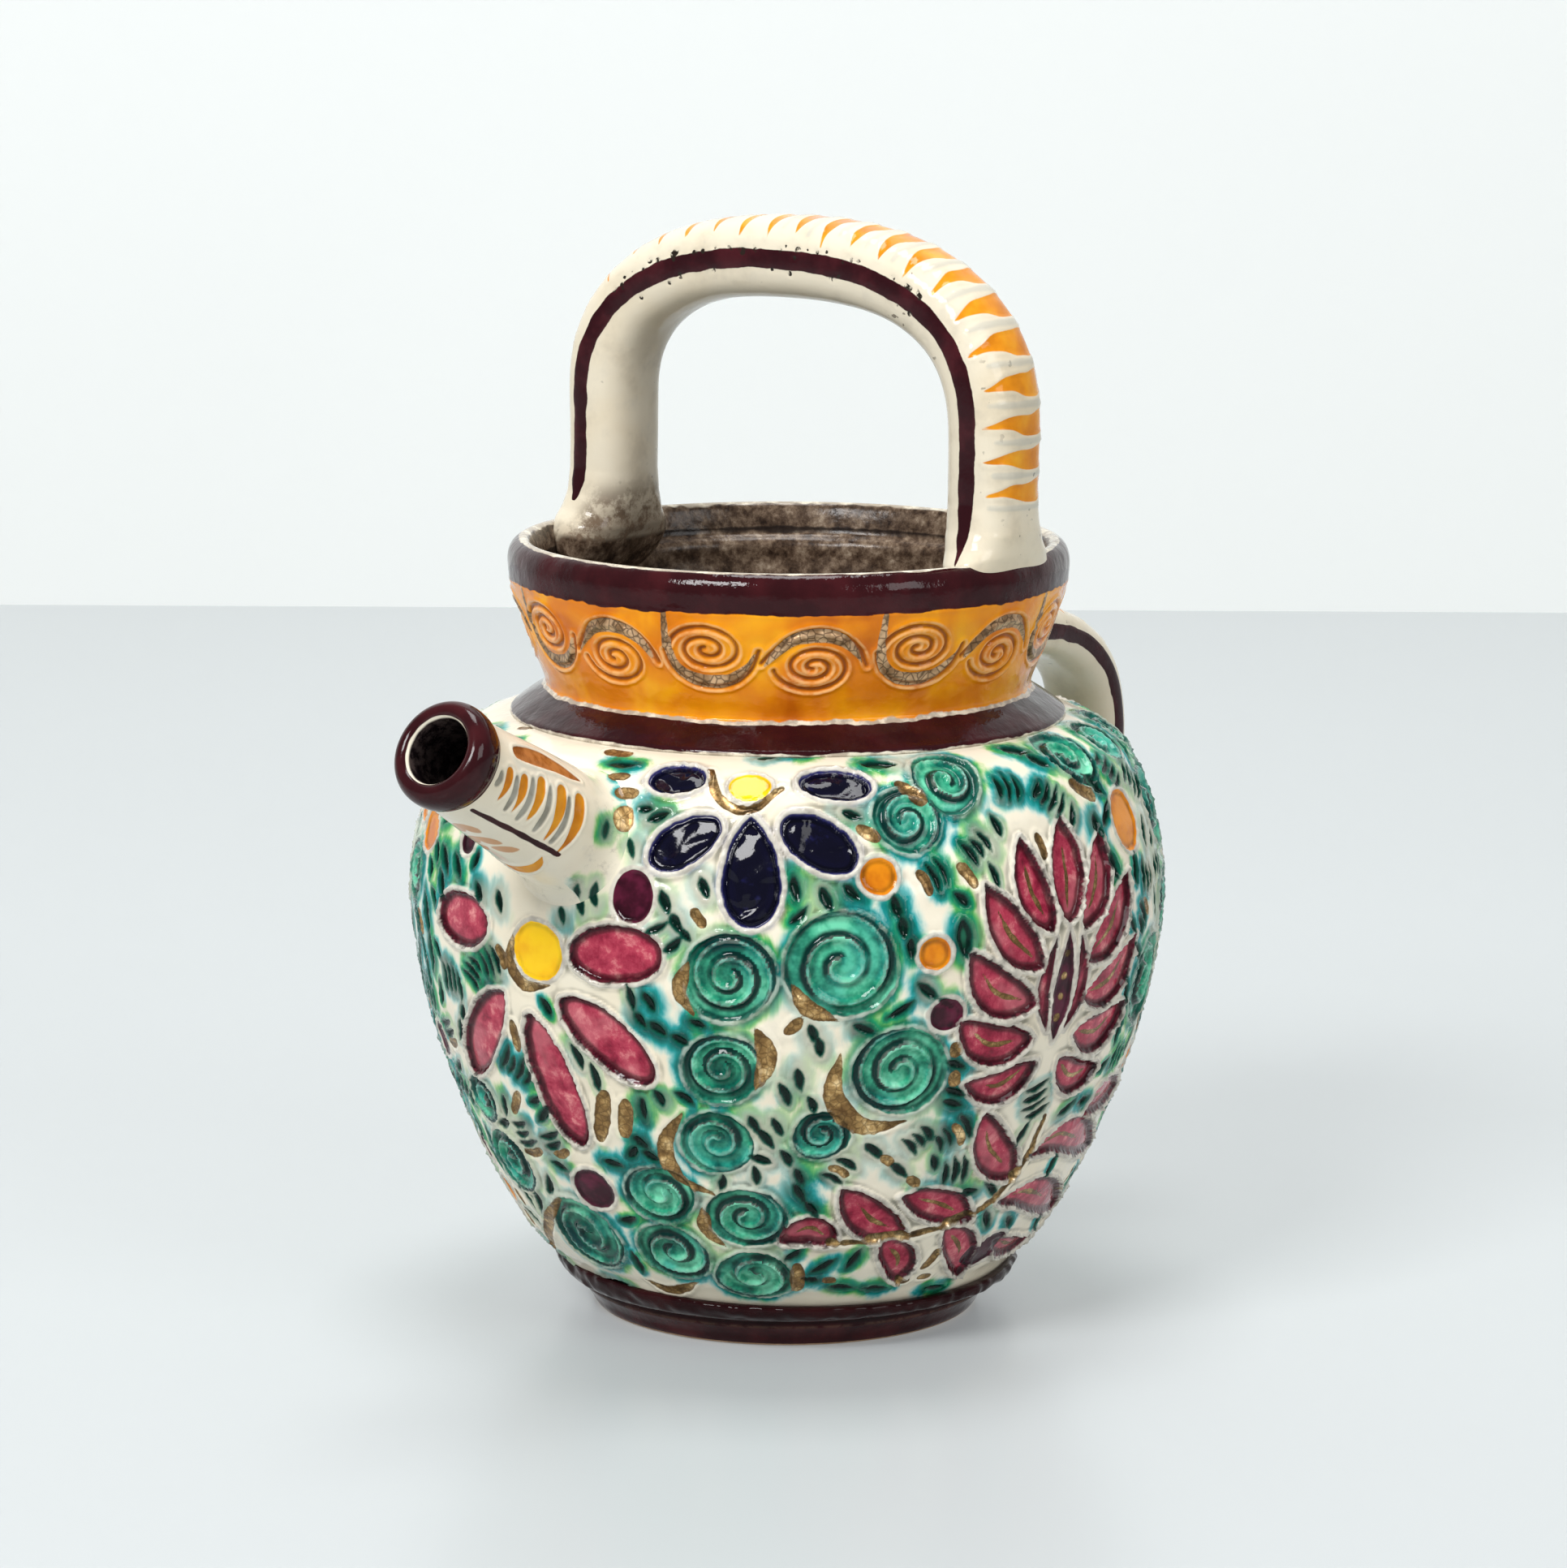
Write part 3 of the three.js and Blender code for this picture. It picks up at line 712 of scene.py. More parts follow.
def spout_material():
    p = Paint("spout_glaze")
    col = cream_ground(p)
    # grey specks in the crease where the spout meets the belly: dirt, with painted shade in the crease
    grit = p.times(p.span(p.attr("crease_dirt_and_shade"), 0.15, 1.0), p.span(p.noise(240, 5, 0.72), 0.50, 0.70))
    col = p.mix(p.times(grit, 0.65), col, (0.27, 0.245, 0.195))
    col = dashes(p, bleed(p, col))
    col, au = lustre(p, col)
    gr = p.span(p.attr("grey"), 0.22, -0.16)
    col = p.mix(p.times(gr, 0.85), col, p.mix(p.span(p.noise(260, 3), 0.4, 0.62), (0.30, 0.29, 0.245), (0.165, 0.155, 0.120)))
    pale = p.span(p.attr("pale"), 0.20, -0.16)
    col = p.mix(p.times(pale, 0.85), col, (0.56, 0.25, 0.085))
    o = p.attr("oran")
    amber = p.ramp(p.noise(190, 3), [(0.3, (0.46, 0.135, 0.006)), (0.5, (0.66, 0.235, 0.010)), (0.72, (0.76, 0.33, 0.018))])
    col = p.mix(p.span(o, 0.10, -0.08), col, amber)
    lf = p.span(p.attr("leaf"), 0.10, -0.08)
    col = p.mix(lf, col, p.mix(p.span(p.noise(330, 4, 0.6), 0.38, 0.62), (0.26, 0.075, 0.016), (0.46, 0.17, 0.050)))
    br = p.span(p.attr("brown"), 0.10, -0.08)
    col = p.mix(br, col, p.mix(p.span(p.noise(150, 3), 0.4, 0.7), MAROON, (0.045, 0.007, 0.009)))
    edge = p.span(p.math('ADD', p.attr("edge"), p.math('MULTIPLY', p.math('SUBTRACT', p.noise(420, 3), 0.5), 0.7)), 0.10, -0.12)
    col = p.mix(p.times(edge, p.span(p.noise(260, 2), 0.42, 0.56, 0.0, 0.85)), col, (0.29, 0.24, 0.195))
    bore = p.span(p.attr("bore"), 0.2, -0.2)
    col = p.mix(bore, col, p.mix(p.span(p.noise(520, 4, 0.65), 0.42, 0.66), (0.008, 0.005, 0.006), (0.060, 0.043, 0.040)))
    return p.close(col, p.span(p.noise(130, 3), 0.35, 0.7, 0.06, 0.16), None, glaze_bump(p))


def foot_material():
    p = Paint("brown_foot_glaze")
    col = p.mix(p.span(p.noise(120, 3), 0.38, 0.68), MAROON, MAROON_LIGHT)
    worn = p.times(p.span(p.attr("worn"), 0.0, 1.0), p.span(p.noise(330, 4, 0.65), 0.38, 0.56))
    col = p.mix(worn, col, (0.36, 0.24, 0.155))
    # painted shade in the groove under the lip, and the flange darker than the ring below
    col = p.mix(p.times(p.attr("shade_and_darker_band"), 0.85), col, (0.0105, 0.0026, 0.0030))
    bare = p.span(p.attr("bare"), 0.4, 0.6)
    clay = p.ramp(p.noise(420, 5, 0.65), [(0.3, (0.30, 0.17, 0.095)), (0.55, (0.46, 0.29, 0.175)), (0.75, (0.58, 0.41, 0.27))])
    col = p.mix(bare, col, clay)
    rough = p.math('ADD', p.span(p.noise(130, 3), 0.35, 0.7, 0.05, 0.13), p.times(bare, 0.6))
    return p.close(col, rough, None, glaze_bump(p, 1.3), 0.12)


# ---------------------------------------------------------------- the belly
BODY_OUT = [(37.6, 7.9), (38.5, 8.9), (39.4, 9.9), (40.3, 10.9), (44.1, 15), (48.4, 22), (52.5, 30), (55.75, 38), (58.65, 46), (60.95, 54), (62.5, 62),
            (63.45, 70), (63.2, 77), (62.05, 83), (60.5, 88.5), (58.7, 93), (56.6, 96.5), (53.3, 99.2), (50, 100.8), (46.2, 101.7)]
BODY_IN = [(45.0, 101.75), (38.2, 101.4), (37.7, 99.6), (39.5, 98.1), (45.5, 97.2), (51, 94.6), (55, 90), (57.6, 84), (59.4, 77), (59.6, 70),
           (58.5, 62), (57, 54), (54.7, 46), (51.8, 38), (48.5, 30), (44.3, 22.5), (38.5, 16.2), (33, 14), (20, 13.8), (1.0, 13.8)]
COLUMNS = 1080
outer = smooth_path(BODY_OUT, 0.38)
skin = Turned(outer, COLUMNS, 11)

SPOUT_UP = math.radians(29.0)
SPOUT_BASE = np.array([0.0, -57.75, 88.2])
SPOUT_AXIS = np.array([0.0, -math.cos(SPOUT_UP), math.sin(SPOUT_UP)])
SPOUT_TOP = np.array([0.0, math.sin(SPOUT_UP), math.cos(SPOUT_UP)])


def seen(points, width, profile, field, **kw):
    """A motif given by its spine in the frame's pixels; its half width is in mm."""
    mid = points[len(points) // 2] if len(points) > 2 else ((points[0][0] + points[1][0]) / 2, (points[0][1] + points[1][1]) / 2)
    th0, s0 = skin.at(*mid)
    lay(skin, th0, s0, skin.local(th0, s0, points), width, profile, field, **kw)


def placed(deg, z, points, width, profile, field, **kw):
    """A motif about a place given by its angle and height; all else is in mm."""
    lay(skin, math.radians(deg), skin.s_of_z(z), points, width, profile, field, **kw)


PETAL = dict(depth=0.68, ridge=0.46, edge="rim")
DROP = dict(depth=0.20, ridge=0.28, edge="rim")
DASH = dict(depth=0.45, ridge=0.18)
LUSTRE = dict(depth=0.10, ridge=0.16)

# the blue flower
for spine, w, prof in [
        ([(868, 962), (836, 959), (804, 961)], 3.3, "petal"),
        ([(984, 966), (1028, 966), (1072, 971)], 3.3, "petal"),
        ([(888, 1013), (845, 1037), (803, 1063)], 3.7, "petal"),
        ([(964, 1012), (1006, 1037), (1052, 1066)], 4.0, "petal"),
        ([(925, 1006), (926, 1075), (925, 1140)], 4.9, "drop")]:
    seen(spine, w, prof, "cob", **PETAL)
th, s = skin.at(925, 971)
round_dot(skin, th, s, 3.4, 2.75, "yel", depth=-0.12, ridge=0.34, edge="rim")
seen([(876, 948), (886, 984), (922, 1000), (966, 970)], 0.80, "even", "gold", **LUSTRE)

# the crimson flower
for spine, w, prof in [
        ([(600, 1142), (572, 1133), (545, 1124)], 4.6, "petal"),
        ([(702, 1178), (757, 1176), (812, 1178)], 4.8, "petal"),
        ([(620, 1222), (598, 1266), (584, 1318)], 4.0, "petal"),
        ([(652, 1248), (681, 1325), (718, 1412)], 4.3, "petal"),
        ([(690, 1232), (742, 1276), (804, 1332)], 4.4, "petal")]:
    seen(spine, w, prof, "crim", **PETAL)
th, s = skin.at(662, 1172)
round_dot(skin, th, s, 5.2, 4.8, "yel", depth=-0.12, ridge=0.34, edge="rim")
seen([(634, 1148), (629, 1184), (645, 1212), (678, 1214)], 1.35, "leaf", "gold", **LUSTRE)

# drops
for x, y, ru, rv, kind, tilt in [
        (780, 1105, 3.5, 4.3, "plum", 0.0), (1083, 1080, 3.0, 3.0, "oran", 0), (1152, 1175, 2.7, 2.7, "oran", 0),
        (1166, 1250, 2.9, 2.7, "plum", 0), (732, 1465, 4.0, 3.9, "plum", 0.3), (1213, 1540, 4.6, 3.4, "plum", 0.6),
        (1385, 1010, 4.4, 5.2, "oran", 0), (533, 1022, 3.6, 3.5, "oran", 0), (578, 1037, 2.0, 2.0, "plum", 0)]:
    th, s = skin.at(x, y)
    round_dot(skin, th, s, ru, rv, kind, tilt=tilt, halo=1.2 if kind == "oran" else 0.0, **DROP)

# green curls
for x, y, r, hand, start, turns, aspect in [
        (898, 1205, 7.4, -1, 0.4, 2.2, 1.0), (1037, 1190, 8.9, 1, 2.0, 2.0, 1.0), (890, 1318, 6.6, -1, 0.3, 2.1, 0.94),
        (1110, 1320, 7.9, -1, 2.6, 2.2, 1.0), (883, 1407, 5.9, 1, 1.2, 1.8, 1.0), (813, 1472, 6.1, -1, 0.2, 1.8, 0.95),
        (920, 1500, 6.6, 1, 2.2, 1.9, 0.95), (723, 1520, 7.3, 1, 0.9, 1.9, 1.1), (830, 1543, 6.2, 1, 2.8, 1.7, 1.0),
        (930, 1573, 6.2, -1, 1.4, 1.7, 1.0), (1165, 960, 5.8, 1, 0.1, 1.6, 1.15), (1118, 1010, 5.6, -1, 2.5, 1.6, 1.0),
        (633, 1430, 6.2, 1, 1.1, 1.9, 1.0), (597, 1353, 4.4, -1, 0.4, 1.5, 1.0), (1313, 930, 5.6, 1, 2.9, 1.7, 1.2),
        (1352, 910, 4.8, -1, 0.9, 1.5, 1.1), (655, 1545, 5.4, -1, 1.9, 1.6, 1.0), (1012, 1398, 4.6, -1, 1.0, 1.6, 1.0)]:
    th, s = skin.at(x, y)
    spiral(skin, th, s, r * 0.98, hand, start, turns, aspect)

# gold and bronze strokes
for spine, w in [
        ([(930, 1264), (945, 1303), (930, 1343)], 1.7), ([(842, 1370), (820, 1410), (838, 1452), (882, 1470)], 1.5),
        ([(1036, 1298), (1027, 1350), (1063, 1388), (1120, 1380)], 1.9), ([(975, 1213), (995, 1242), (1034, 1258)], 1.4),
        ([(848, 1184), (837, 1220), (856, 1252)], 1.3), ([(746, 1343), (740, 1407)], 1.5), ([(772, 1354), (770, 1402)], 1.4),
        ([(795, 1576), (827, 1590), (861, 1580)], 1.2), ([(866, 1486), (870, 1515), (896, 1536)], 1.2),
        ([(982, 1556), (983, 1590)], 1.2), ([(690, 1474), (676, 1508), (686, 1546)], 1.3),
        ([(1103, 962), (1141, 991)], 1.15), ([(1055, 1018), (1085, 1035)], 1.1), ([(852, 1119), (869, 1143)], 0.95),
        ([(745, 926), (780, 930)], 1.15), ([(749, 956), (777, 957)], 0.8), ([(759, 976), (788, 978)], 1.1),
        ([(769, 994), (769, 1024)], 1.9), ([(1178, 1284), (1178, 1302)], 1.1), ([(1176, 1320), (1176, 1338)], 1.1),
        ([(1086, 1424), (1100, 1434)], 0.9), ([(1118, 1450), (1132, 1460)], 0.9), ([(1012, 1577), (1030, 1578)], 0.9),
        ([(1102, 1578), (1120, 1577)], 0.9), ([(1130, 1573), (1146, 1571)], 0.9), ([(640, 1344), (634, 1372)], 1.0),
        ([(1316, 963), (1350, 985)], 1.3), ([(640, 897), (654, 899)], 0.9)]:
    seen(spine, w, "leaf" if len(spine) > 2 else "even", "gold", **LUSTRE)

# dark green dashes: place, slope in the frame, length in px and half width in mm
for x, y, slope, length, w in [
        (590, 1100, 75, 28, .75), (615, 1110, 80, 30, .75), (715, 1110, 80, 34, .75), (731, 1104, 72, 30, .7), (693, 1127, 80, 24, .6),
        (820, 1112, 70, 34, .8), (834, 1138, 60, 30, .8), (845, 1152, 50, 22, .6), (868, 1094, 70, 30, .75),
        (800, 1235, 60, 30, .75), (789, 1257, 50, 26, .7), (811, 1268, 40, 30, .75), (838, 1282, 30, 26, .7),
        (793, 1367, 80, 30, .7), (623, 1362, 80, 28, .7), (790, 1408, 40, 28, .7), (802, 1424, 30, 26, .7), (757, 1434, 15, 28, .7),
        (690, 1436, 30, 26, .65), (930, 1386, 60, 30, .7), (944, 1402, 50, 32, .75), (958, 1388, 60, 26, .65), (938, 1428, 20, 30, .7),
        (980, 1095, 80, 36, .8), (1018, 1108, 65, 34, .8), (1050, 1100, 45, 30, .75), (1083, 941, 0, 47, 1.1), (1105, 1118, 75, 34, .8),
        (1113, 1143, 80, 30, .8), (1123, 1168, 85, 26, .7), (1188, 1157, 85, 50, 1.3), (1143, 1221, 40, 34, .8), (1167, 1238, 35, 30, .75),
        (1178, 1312, 20, 26, .7), (1177, 1346, 20, 28, .7), (1174, 1360, 15, 26, .7), (1077, 1418, 40, 30, .75), (1108, 1442, 40, 30, .75),
        (1144, 1469, 20, 32, .75), (1166, 1472, 5, 28, .7), (1190, 1468, -10, 28, .7), (997, 1577, 5, 26, .7), (1036, 1586, 5, 30, .7),
        (1078, 1587, 0, 32, .7), (1150, 1586, -5, 24, .6), (767, 942, 0, 38, .75), (795, 997, 0, 22, .6), (778, 1046, 80, 26, .6),
        (812, 1006, -20, 30, .7), (1050, 1004, 20, 28, .7), (550, 1060, 82, 40, .8), (565, 1068, 80, 34, .75), (546, 1092, 84, 44, .8),
        (528, 1126, 84, 60, .9), (519, 1190, 88, 66, .9), (533, 1172, 84, 50, .9), (1250, 926, 8, 40, 1.1), (1278, 938, 25, 34, 1.0),
        (1345, 965, 40, 40, 1.1), (1352, 1022, 75, 44, 1.0), (1372, 1066, 70, 38, .9), (1408, 1024, 80, 40, .9),
        (700, 1000, 60, 26, .6), (985, 930, 0, 26, .7), (945, 935, -10, 24, .6), (1010, 1290, 80, 26, .7), (1002, 1274, 70, 26, .7),
        (985, 1330, 80, 30, .75), (1065, 1268, 20, 30, .7), (860, 1262, 20, 24, .6), (665, 1480, 75, 30, .7), (760, 1580, 10, 30, .7),
        (985, 1470, 60, 30, .75), (1000, 1490, 50, 28, .7), (985, 1450, 65, 26, .7)]:
    a = math.radians(slope)
    dx, dy = math.cos(a) * length / 2, math.sin(a) * length / 2
    seen([(x - dx, y - dy), (x + dx, y + dy)], w * 1.15, "leaf", "dash", halo=3.7, **DASH)


def palmette(deg, z, k=1.0, turn_deg=0.0):
    """An upright blossom of crimson leaves about a plum heart, with lustre veins."""
    c, s_ = math.cos(math.radians(turn_deg)), math.sin(math.radians(turn_deg))

    def at(points):
        return [(k * (c * x - s_ * y), k * (s_ * x + c * y)) for x, y in points]

    def leaf(points, w, prof="leaf", vein=0.5):
        placed(deg, z, at(points), w * k, prof, "crim", **PETAL)
        if vein:
            p = np.asarray(points, float)
            q = [tuple(p[0] * 0.7 + p[1] * 0.3), tuple(p[1]), tuple(p[1] * 0.45 + p[2] * 0.55)]
            placed(deg, z, at(q), vein * k, "leaf", "gold", depth=0.0, ridge=0.1)

    leaf([(0, 10.0), (0.4, 18.5), (0, 28.5)], 4.3)
    for m in (-1, 1):
        leaf([(m * 3.9, 8.5), (m * 8.6, 16.0), (m * 10.4, 25.5)], 3.7)
        leaf([(m * 5.8, 2.4), (m * 13.6, 8.6), (m * 19.0, 17.5)], 4.0)
        leaf([(m * 6.0, -4.2), (m * 15.4, -1.6), (m * 22.4, 6.0)], 4.0)
        leaf([(m * 5.2, -10.5), (m * 14.2, -11.3), (m * 22.4, -6.4)], 3.9)
        leaf([(m * 2.8, -15.0), (m * 9.6, -19.6), (m * 17.8, -18.4)], 3.4)
        placed(deg, z, at([(m * 2.2, -9.5), (m * 5.0, -2.0), (m * 3.4, 7.5)]), 1.5 * k, "leaf", "crim", depth=0.3, ridge=0.2, edge="rim")
    placed(deg, z, at([(0, -11.5), (0, -1.5), (0, 8.6)]), 2.3 * k, "leaf", "plum", **DROP)
    for t in range(4):
        th0, s0 = math.radians(deg), skin.s_of_z(z)
        x, y = at([(0, -7.2 + 3.9 * t)])[0]
        r0 = float(np.interp(s0 + y, skin.s, skin.p[:, 0]))
        round_dot(skin, th0 + x / r0, s0 + y, 0.75 * k, 0.75 * k, "gold", depth=0.0, ridge=0.1)


PALM = skin.at(1312, 1206)
palmette(math.degrees(PALM[0]), float(np.interp(PALM[1], skin.s, skin.p[:, 1])), 0.93, -4.0)
# its stem and the leaves on it
seen([(1288, 1372), (1262, 1428), (1216, 1482), (1148, 1514), (1075, 1528), (1018, 1532)], 0.75, "even", "gold", depth=0.1, ridge=0.25)
for spine, w in [
        ([(1266, 1424), (1308, 1400), (1358, 1410)], 3.6), ([(1250, 1450), (1222, 1416), (1214, 1370)], 3.7),
        ([(1226, 1480), (1268, 1470), (1314, 1486)], 3.6), ([(1196, 1502), (1160, 1486), (1108, 1474)], 3.4),
        ([(1164, 1512), (1184, 1538), (1180, 1572)], 3.2), ([(1116, 1524), (1076, 1506), (1036, 1464)], 3.7),
        ([(1086, 1530), (1108, 1552), (1104, 1580)], 3.0), ([(1028, 1532), (998, 1516), (960, 1530)], 3.0),
        ([(1280, 1528), (1305, 1500), (1340, 1464)], 3.3), ([(1326, 1392), (1348, 1358), (1380, 1336)], 3.4),
        ([(1222, 1530), (1250, 1534), (1276, 1512)], 2.4)]:
    seen(spine, w, "leaf", "crim", **PETAL)
    p = np.asarray(spine, float)
    seen([tuple(p[0] * .6 + p[1] * .4), tuple(p[1]), tuple(p[1] * .5 + p[2] * .5)], 0.42, "leaf", "gold", depth=0.0, ridge=0.1)


def flower(deg, z, k, field, seed, petals=5):
    g = np.random.default_rng(seed)
    a0 = g.uniform(0, 6.28)
    for i in range(petals):
        a = a0 + i * 2 * math.pi / petals + g.uniform(-.12, .12)
        far = k * g.uniform(15.5, 20.0)
        bend = g.uniform(-.12, .12)
        mid = (far + 6.6 * k) / 2
        placed(deg, z, [(6.6 * k * math.cos(a), 6.6 * k * math.sin(a)), (mid * math.cos(a + bend), mid * math.sin(a + bend)),
                        (far * math.cos(a), far * math.sin(a))], k * g.uniform(4.0, 4.7), "petal", field, **PETAL)
    round_dot(skin, math.radians(deg), skin.s_of_z(z), 4.4 * k, 4.2 * k, "yel", depth=-0.12, ridge=0.34, edge="rim")
    arc = [(5.4 * k * math.cos(t), 5.4 * k * math.sin(t)) for t in np.linspace(2.6, 4.9, 5)]
    placed(deg, z, arc, 1.1 * k, "leaf", "gold", **LUSTRE)


# the side away from the view carries the same kinds of motif
flower(62.0, 63.0, 1.0, "cob", 5)
flower(131.0, 74.0, 1.05, "crim", 6)
flower(196.0, 62.0, 1.0, "cob", 7)
palmette(163.0, 55.0, 0.86, 8.0)
flower(97.0, 36.0, 0.72, "crim", 8)

# the rest of the ground: curls, drops and dashes where there is room
g = np.random.default_rng(91)
cam_deg = -54.0
tries = 0
for radius, count, kind in [(7.2, 26, "curl"), (5.4, 60, "curl"), (2.7, 36, "drop"), (3.1, 240, "comb"), (1.5, 420, "dash")]:
    made, tries = 0, 0
    while made < count and tries < (7000 if kind in ("dash", "comb") else 2500):
        tries += 1
        deg = g.uniform(-180, 180)
        z = g.uniform(15.0, 99.5)
        away = abs((deg - cam_deg + 180) % 360 - 180)
        if kind in ("curl", "drop") and away < 72:
            continue
        th0, s0 = math.radians(deg), skin.s_of_z(z)
        pos = np.array([math.cos(th0), math.sin(th0), 0]) * np.interp(z, skin.p[:, 1], skin.p[:, 0]) + np.array([0, 0, z])
        rel = pos - SPOUT_BASE
        off = np.linalg.norm(rel - SPOUT_AXIS * (rel @ SPOUT_AXIS))
        if pos[1] < 0 and off < 17.5 + radius:
            continue
        if kind in ("curl", "drop") and pos[1] > 0 and (abs(z - 56) < 12 + radius and abs(pos[0]) < 11 + radius):
            continue
        i = int(np.argmin(np.abs(skin.s - s0)))
        j = int(round((th0 - SEAM) / (2 * math.pi / COLUMNS))) % COLUMNS
        if skin.busy[i, j] < radius + (0.35 if kind in ("dash", "comb") else 0.9):
            continue
        if kind == "dash" and away < 72 and g.uniform() < 0.45:
            continue
        made += 1
        if kind == "curl":
            spiral(skin, th0, s0, radius * g.uniform(.86, 1.0), g.choice([-1, 1]), g.uniform(0, 6.28), g.uniform(1.6, 2.1), g.uniform(.9, 1.08))
        elif kind == "drop":
            which = g.choice(["oran", "plum", "oran"])
            round_dot(skin, th0, s0, radius * g.uniform(.85, 1.1), radius * g.uniform(.85, 1.2), which, halo=1.2 if which == "oran" else 0, **DROP)
        elif kind == "comb":
            a = 0.9 * math.sin(3 * th0 + 0.11 * s0) + 1.35 + g.uniform(-.5, .5)
            many = int(g.integers(3, 5))
            for i in range(many):
                half = g.uniform(1.9, 3.0)
                o1 = (i - (many - 1) / 2) * 1.75
                o2 = g.uniform(-.5, .5)
                cx_, cy_ = -o1 * math.sin(a) + o2 * math.cos(a), o1 * math.cos(a) + o2 * math.sin(a)
                bow = 0.45
                pts = [(cx_ - half * math.cos(a), cy_ - half * math.sin(a)), (cx_ + bow * math.sin(a), cy_ - bow * math.cos(a)),
                       (cx_ + half * math.cos(a), cy_ + half * math.sin(a))]
                if g.uniform() < 0.12:
                    lay(skin, th0, s0, pts, g.uniform(.75, 1.0), "even", "gold", **LUSTRE)
                else:
                    lay(skin, th0, s0, pts, g.uniform(.52, .80), "leaf", "dash", halo=g.uniform(1.8, 3.8), **DASH)
        else:
            a = 0.9 * math.sin(3 * th0 + 0.11 * s0) + 1.35 + g.uniform(-.35, .35)
            half = g.uniform(1.6, 2.9)
            pts = [(-half * math.cos(a), -half * math.sin(a)), (0.25 * math.sin(a), -0.25 * math.cos(a)), (half * math.cos(a), half * math.sin(a))]
            if g.uniform() < 0.16:
                lay(skin, th0, s0, pts, g.uniform(.8, 1.05), "even", "gold", **LUSTRE)
            else:
                lay(skin, th0, s0, pts, g.uniform(.62, .9), "leaf", "dash", halo=g.uniform(1.4, 3.0), **DASH)

for key in ("halo",):
    skin.field(key, 1.0)
for key in ("cob", "crim", "plum", "yel", "oran", "gold", "disc", "groove", "wall", "dash", "rim"):
    skin.field(key)

# carved and hand-thrown relief
inside = 1 - step01(skin.busy, -0.9, 0.15)
grit = 1.0 + 0.32 * waves(33, skin.th, skin.s, 30, 2.5, 6.0, 60.0)
relief = skin.low + 1.2 * np.clip(grit, 0.3, 1.8) * skin.high * (1 - 0.85 * step01(-skin.busy, 0.2, 0.8)) + skin.wallh
rm = 60.0
hand = waves(31, skin.th, skin.s, 30, 0.05, 0.22, rm) * 0.13 + waves(32, skin.th, skin.s, 20, 0.3, 0.8, rm) * 0.030
rings = 0.05 * np.sin(skin.s * 2 * math.pi / 5.3 + 0.7)[:, None]
fade = step01(skin.s, 0.0, 2.5) * step01(skin.s[-1] - skin.s, 0.0, 2.0)
relief = (relief + hand + rings) * fade[:, None]
skin_pos = np.stack([skin.p[:, 0:1] * np.cos(skin.th), skin.p[:, 0:1] * np.sin(skin.th), np.repeat(skin.p[:, 1:2], COLUMNS, 1)], axis=-1) - SPOUT_BASE
root_gap = np.linalg.norm(skin_pos - (skin_pos @ SPOUT_AXIS)[..., None] * SPOUT_AXIS, axis=-1) - 10.0
root_gap[skin_pos[..., 1] > 40] = 99.0
relief *= step01(root_gap, 2.9, 4.6)
skin.f["halo"] = 1 - (1 - skin.f["halo"]) * (0.35 + 0.65 * step01(root_gap, 0.5, 4.0))

under = smooth_path([(1.0, 9.3), (20, 9.25), (28.5, 9.3), (33.0, 8.4), (36.6, 7.6)], 3.0)
inner = smooth_path(BODY_IN, 2.2)
profile = np.vstack([under, outer, inner])
disp = np.vstack([np.zeros((len(under), COLUMNS)), relief, np.zeros((len(inner), COLUMNS))])
nor = normals_2d(profile)
a0, a1 = len(under), len(under) + len(outer)
nor[a0:a1] = normals_2d(outer)
rad = profile[:, 0:1] + disp * nor[:, 0:1]
hgt = profile[:, 1:2] + disp * nor[:, 1:2]
th = skin.th[None, :]
pos = np.stack([rad * np.cos(th), rad * np.sin(th), np.broadcast_to(hgt, rad.shape)], axis=-1)

# the pouring hole through the wall, under the spout
mid = (pos[:-1] + pos[1:]) / 2
rel = mid - SPOUT_BASE
off = np.linalg.norm(rel - (rel @ SPOUT_AXIS)[..., None] * SPOUT_AXIS, axis=-1)
hole = (off < 6.0) & (mid[..., 1] < -20)

soft = relief
for axis in (0, 1):
    soft = sum(np.roll(soft, k_, axis) for k_ in range(-3, 4)) / 7
attrs = {}
# darker in the hollows of the relief (pooled glaze and painted shade), paler on its crests (thin glaze and painted
# highlight)
skin.f["pooled_glaze_and_shade"] = np.clip((soft - relief) / 0.26, 0, 1)
skin.f["thin_glaze_and_highlight"] = np.clip((relief - soft) / 0.24, 0, 1)
for key, f in skin.f.items():
    pad = 1.0 if key == "halo" else 0.0 if key in ("pooled_glaze_and_shade", "thin_glaze_and_highlight") else 9.0
    lim = np.clip(f, -6.0, 6.0) if key != "halo" else f
    attrs[key] = np.vstack([np.full((len(under), COLUMNS), min(pad, 6.0)), lim, np.full((len(inner), COLUMNS), min(pad, 6.0))])
attrs["inner"] = np.vstack([np.zeros((a1, COLUMNS)), np.ones((len(inner), COLUMNS))])
attrs["bare"] = np.vstack([np.ones((a0, COLUMNS)), np.zeros((len(profile) - a0, COLUMNS))])
body = grid_mesh("belly", pos, attrs, cap_start=(0, 0, 9.3), cap_end=(0, 0, 13.8), drop=hole)
body.data.materials.append(decorated_material())
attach(body, "root")
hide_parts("body")

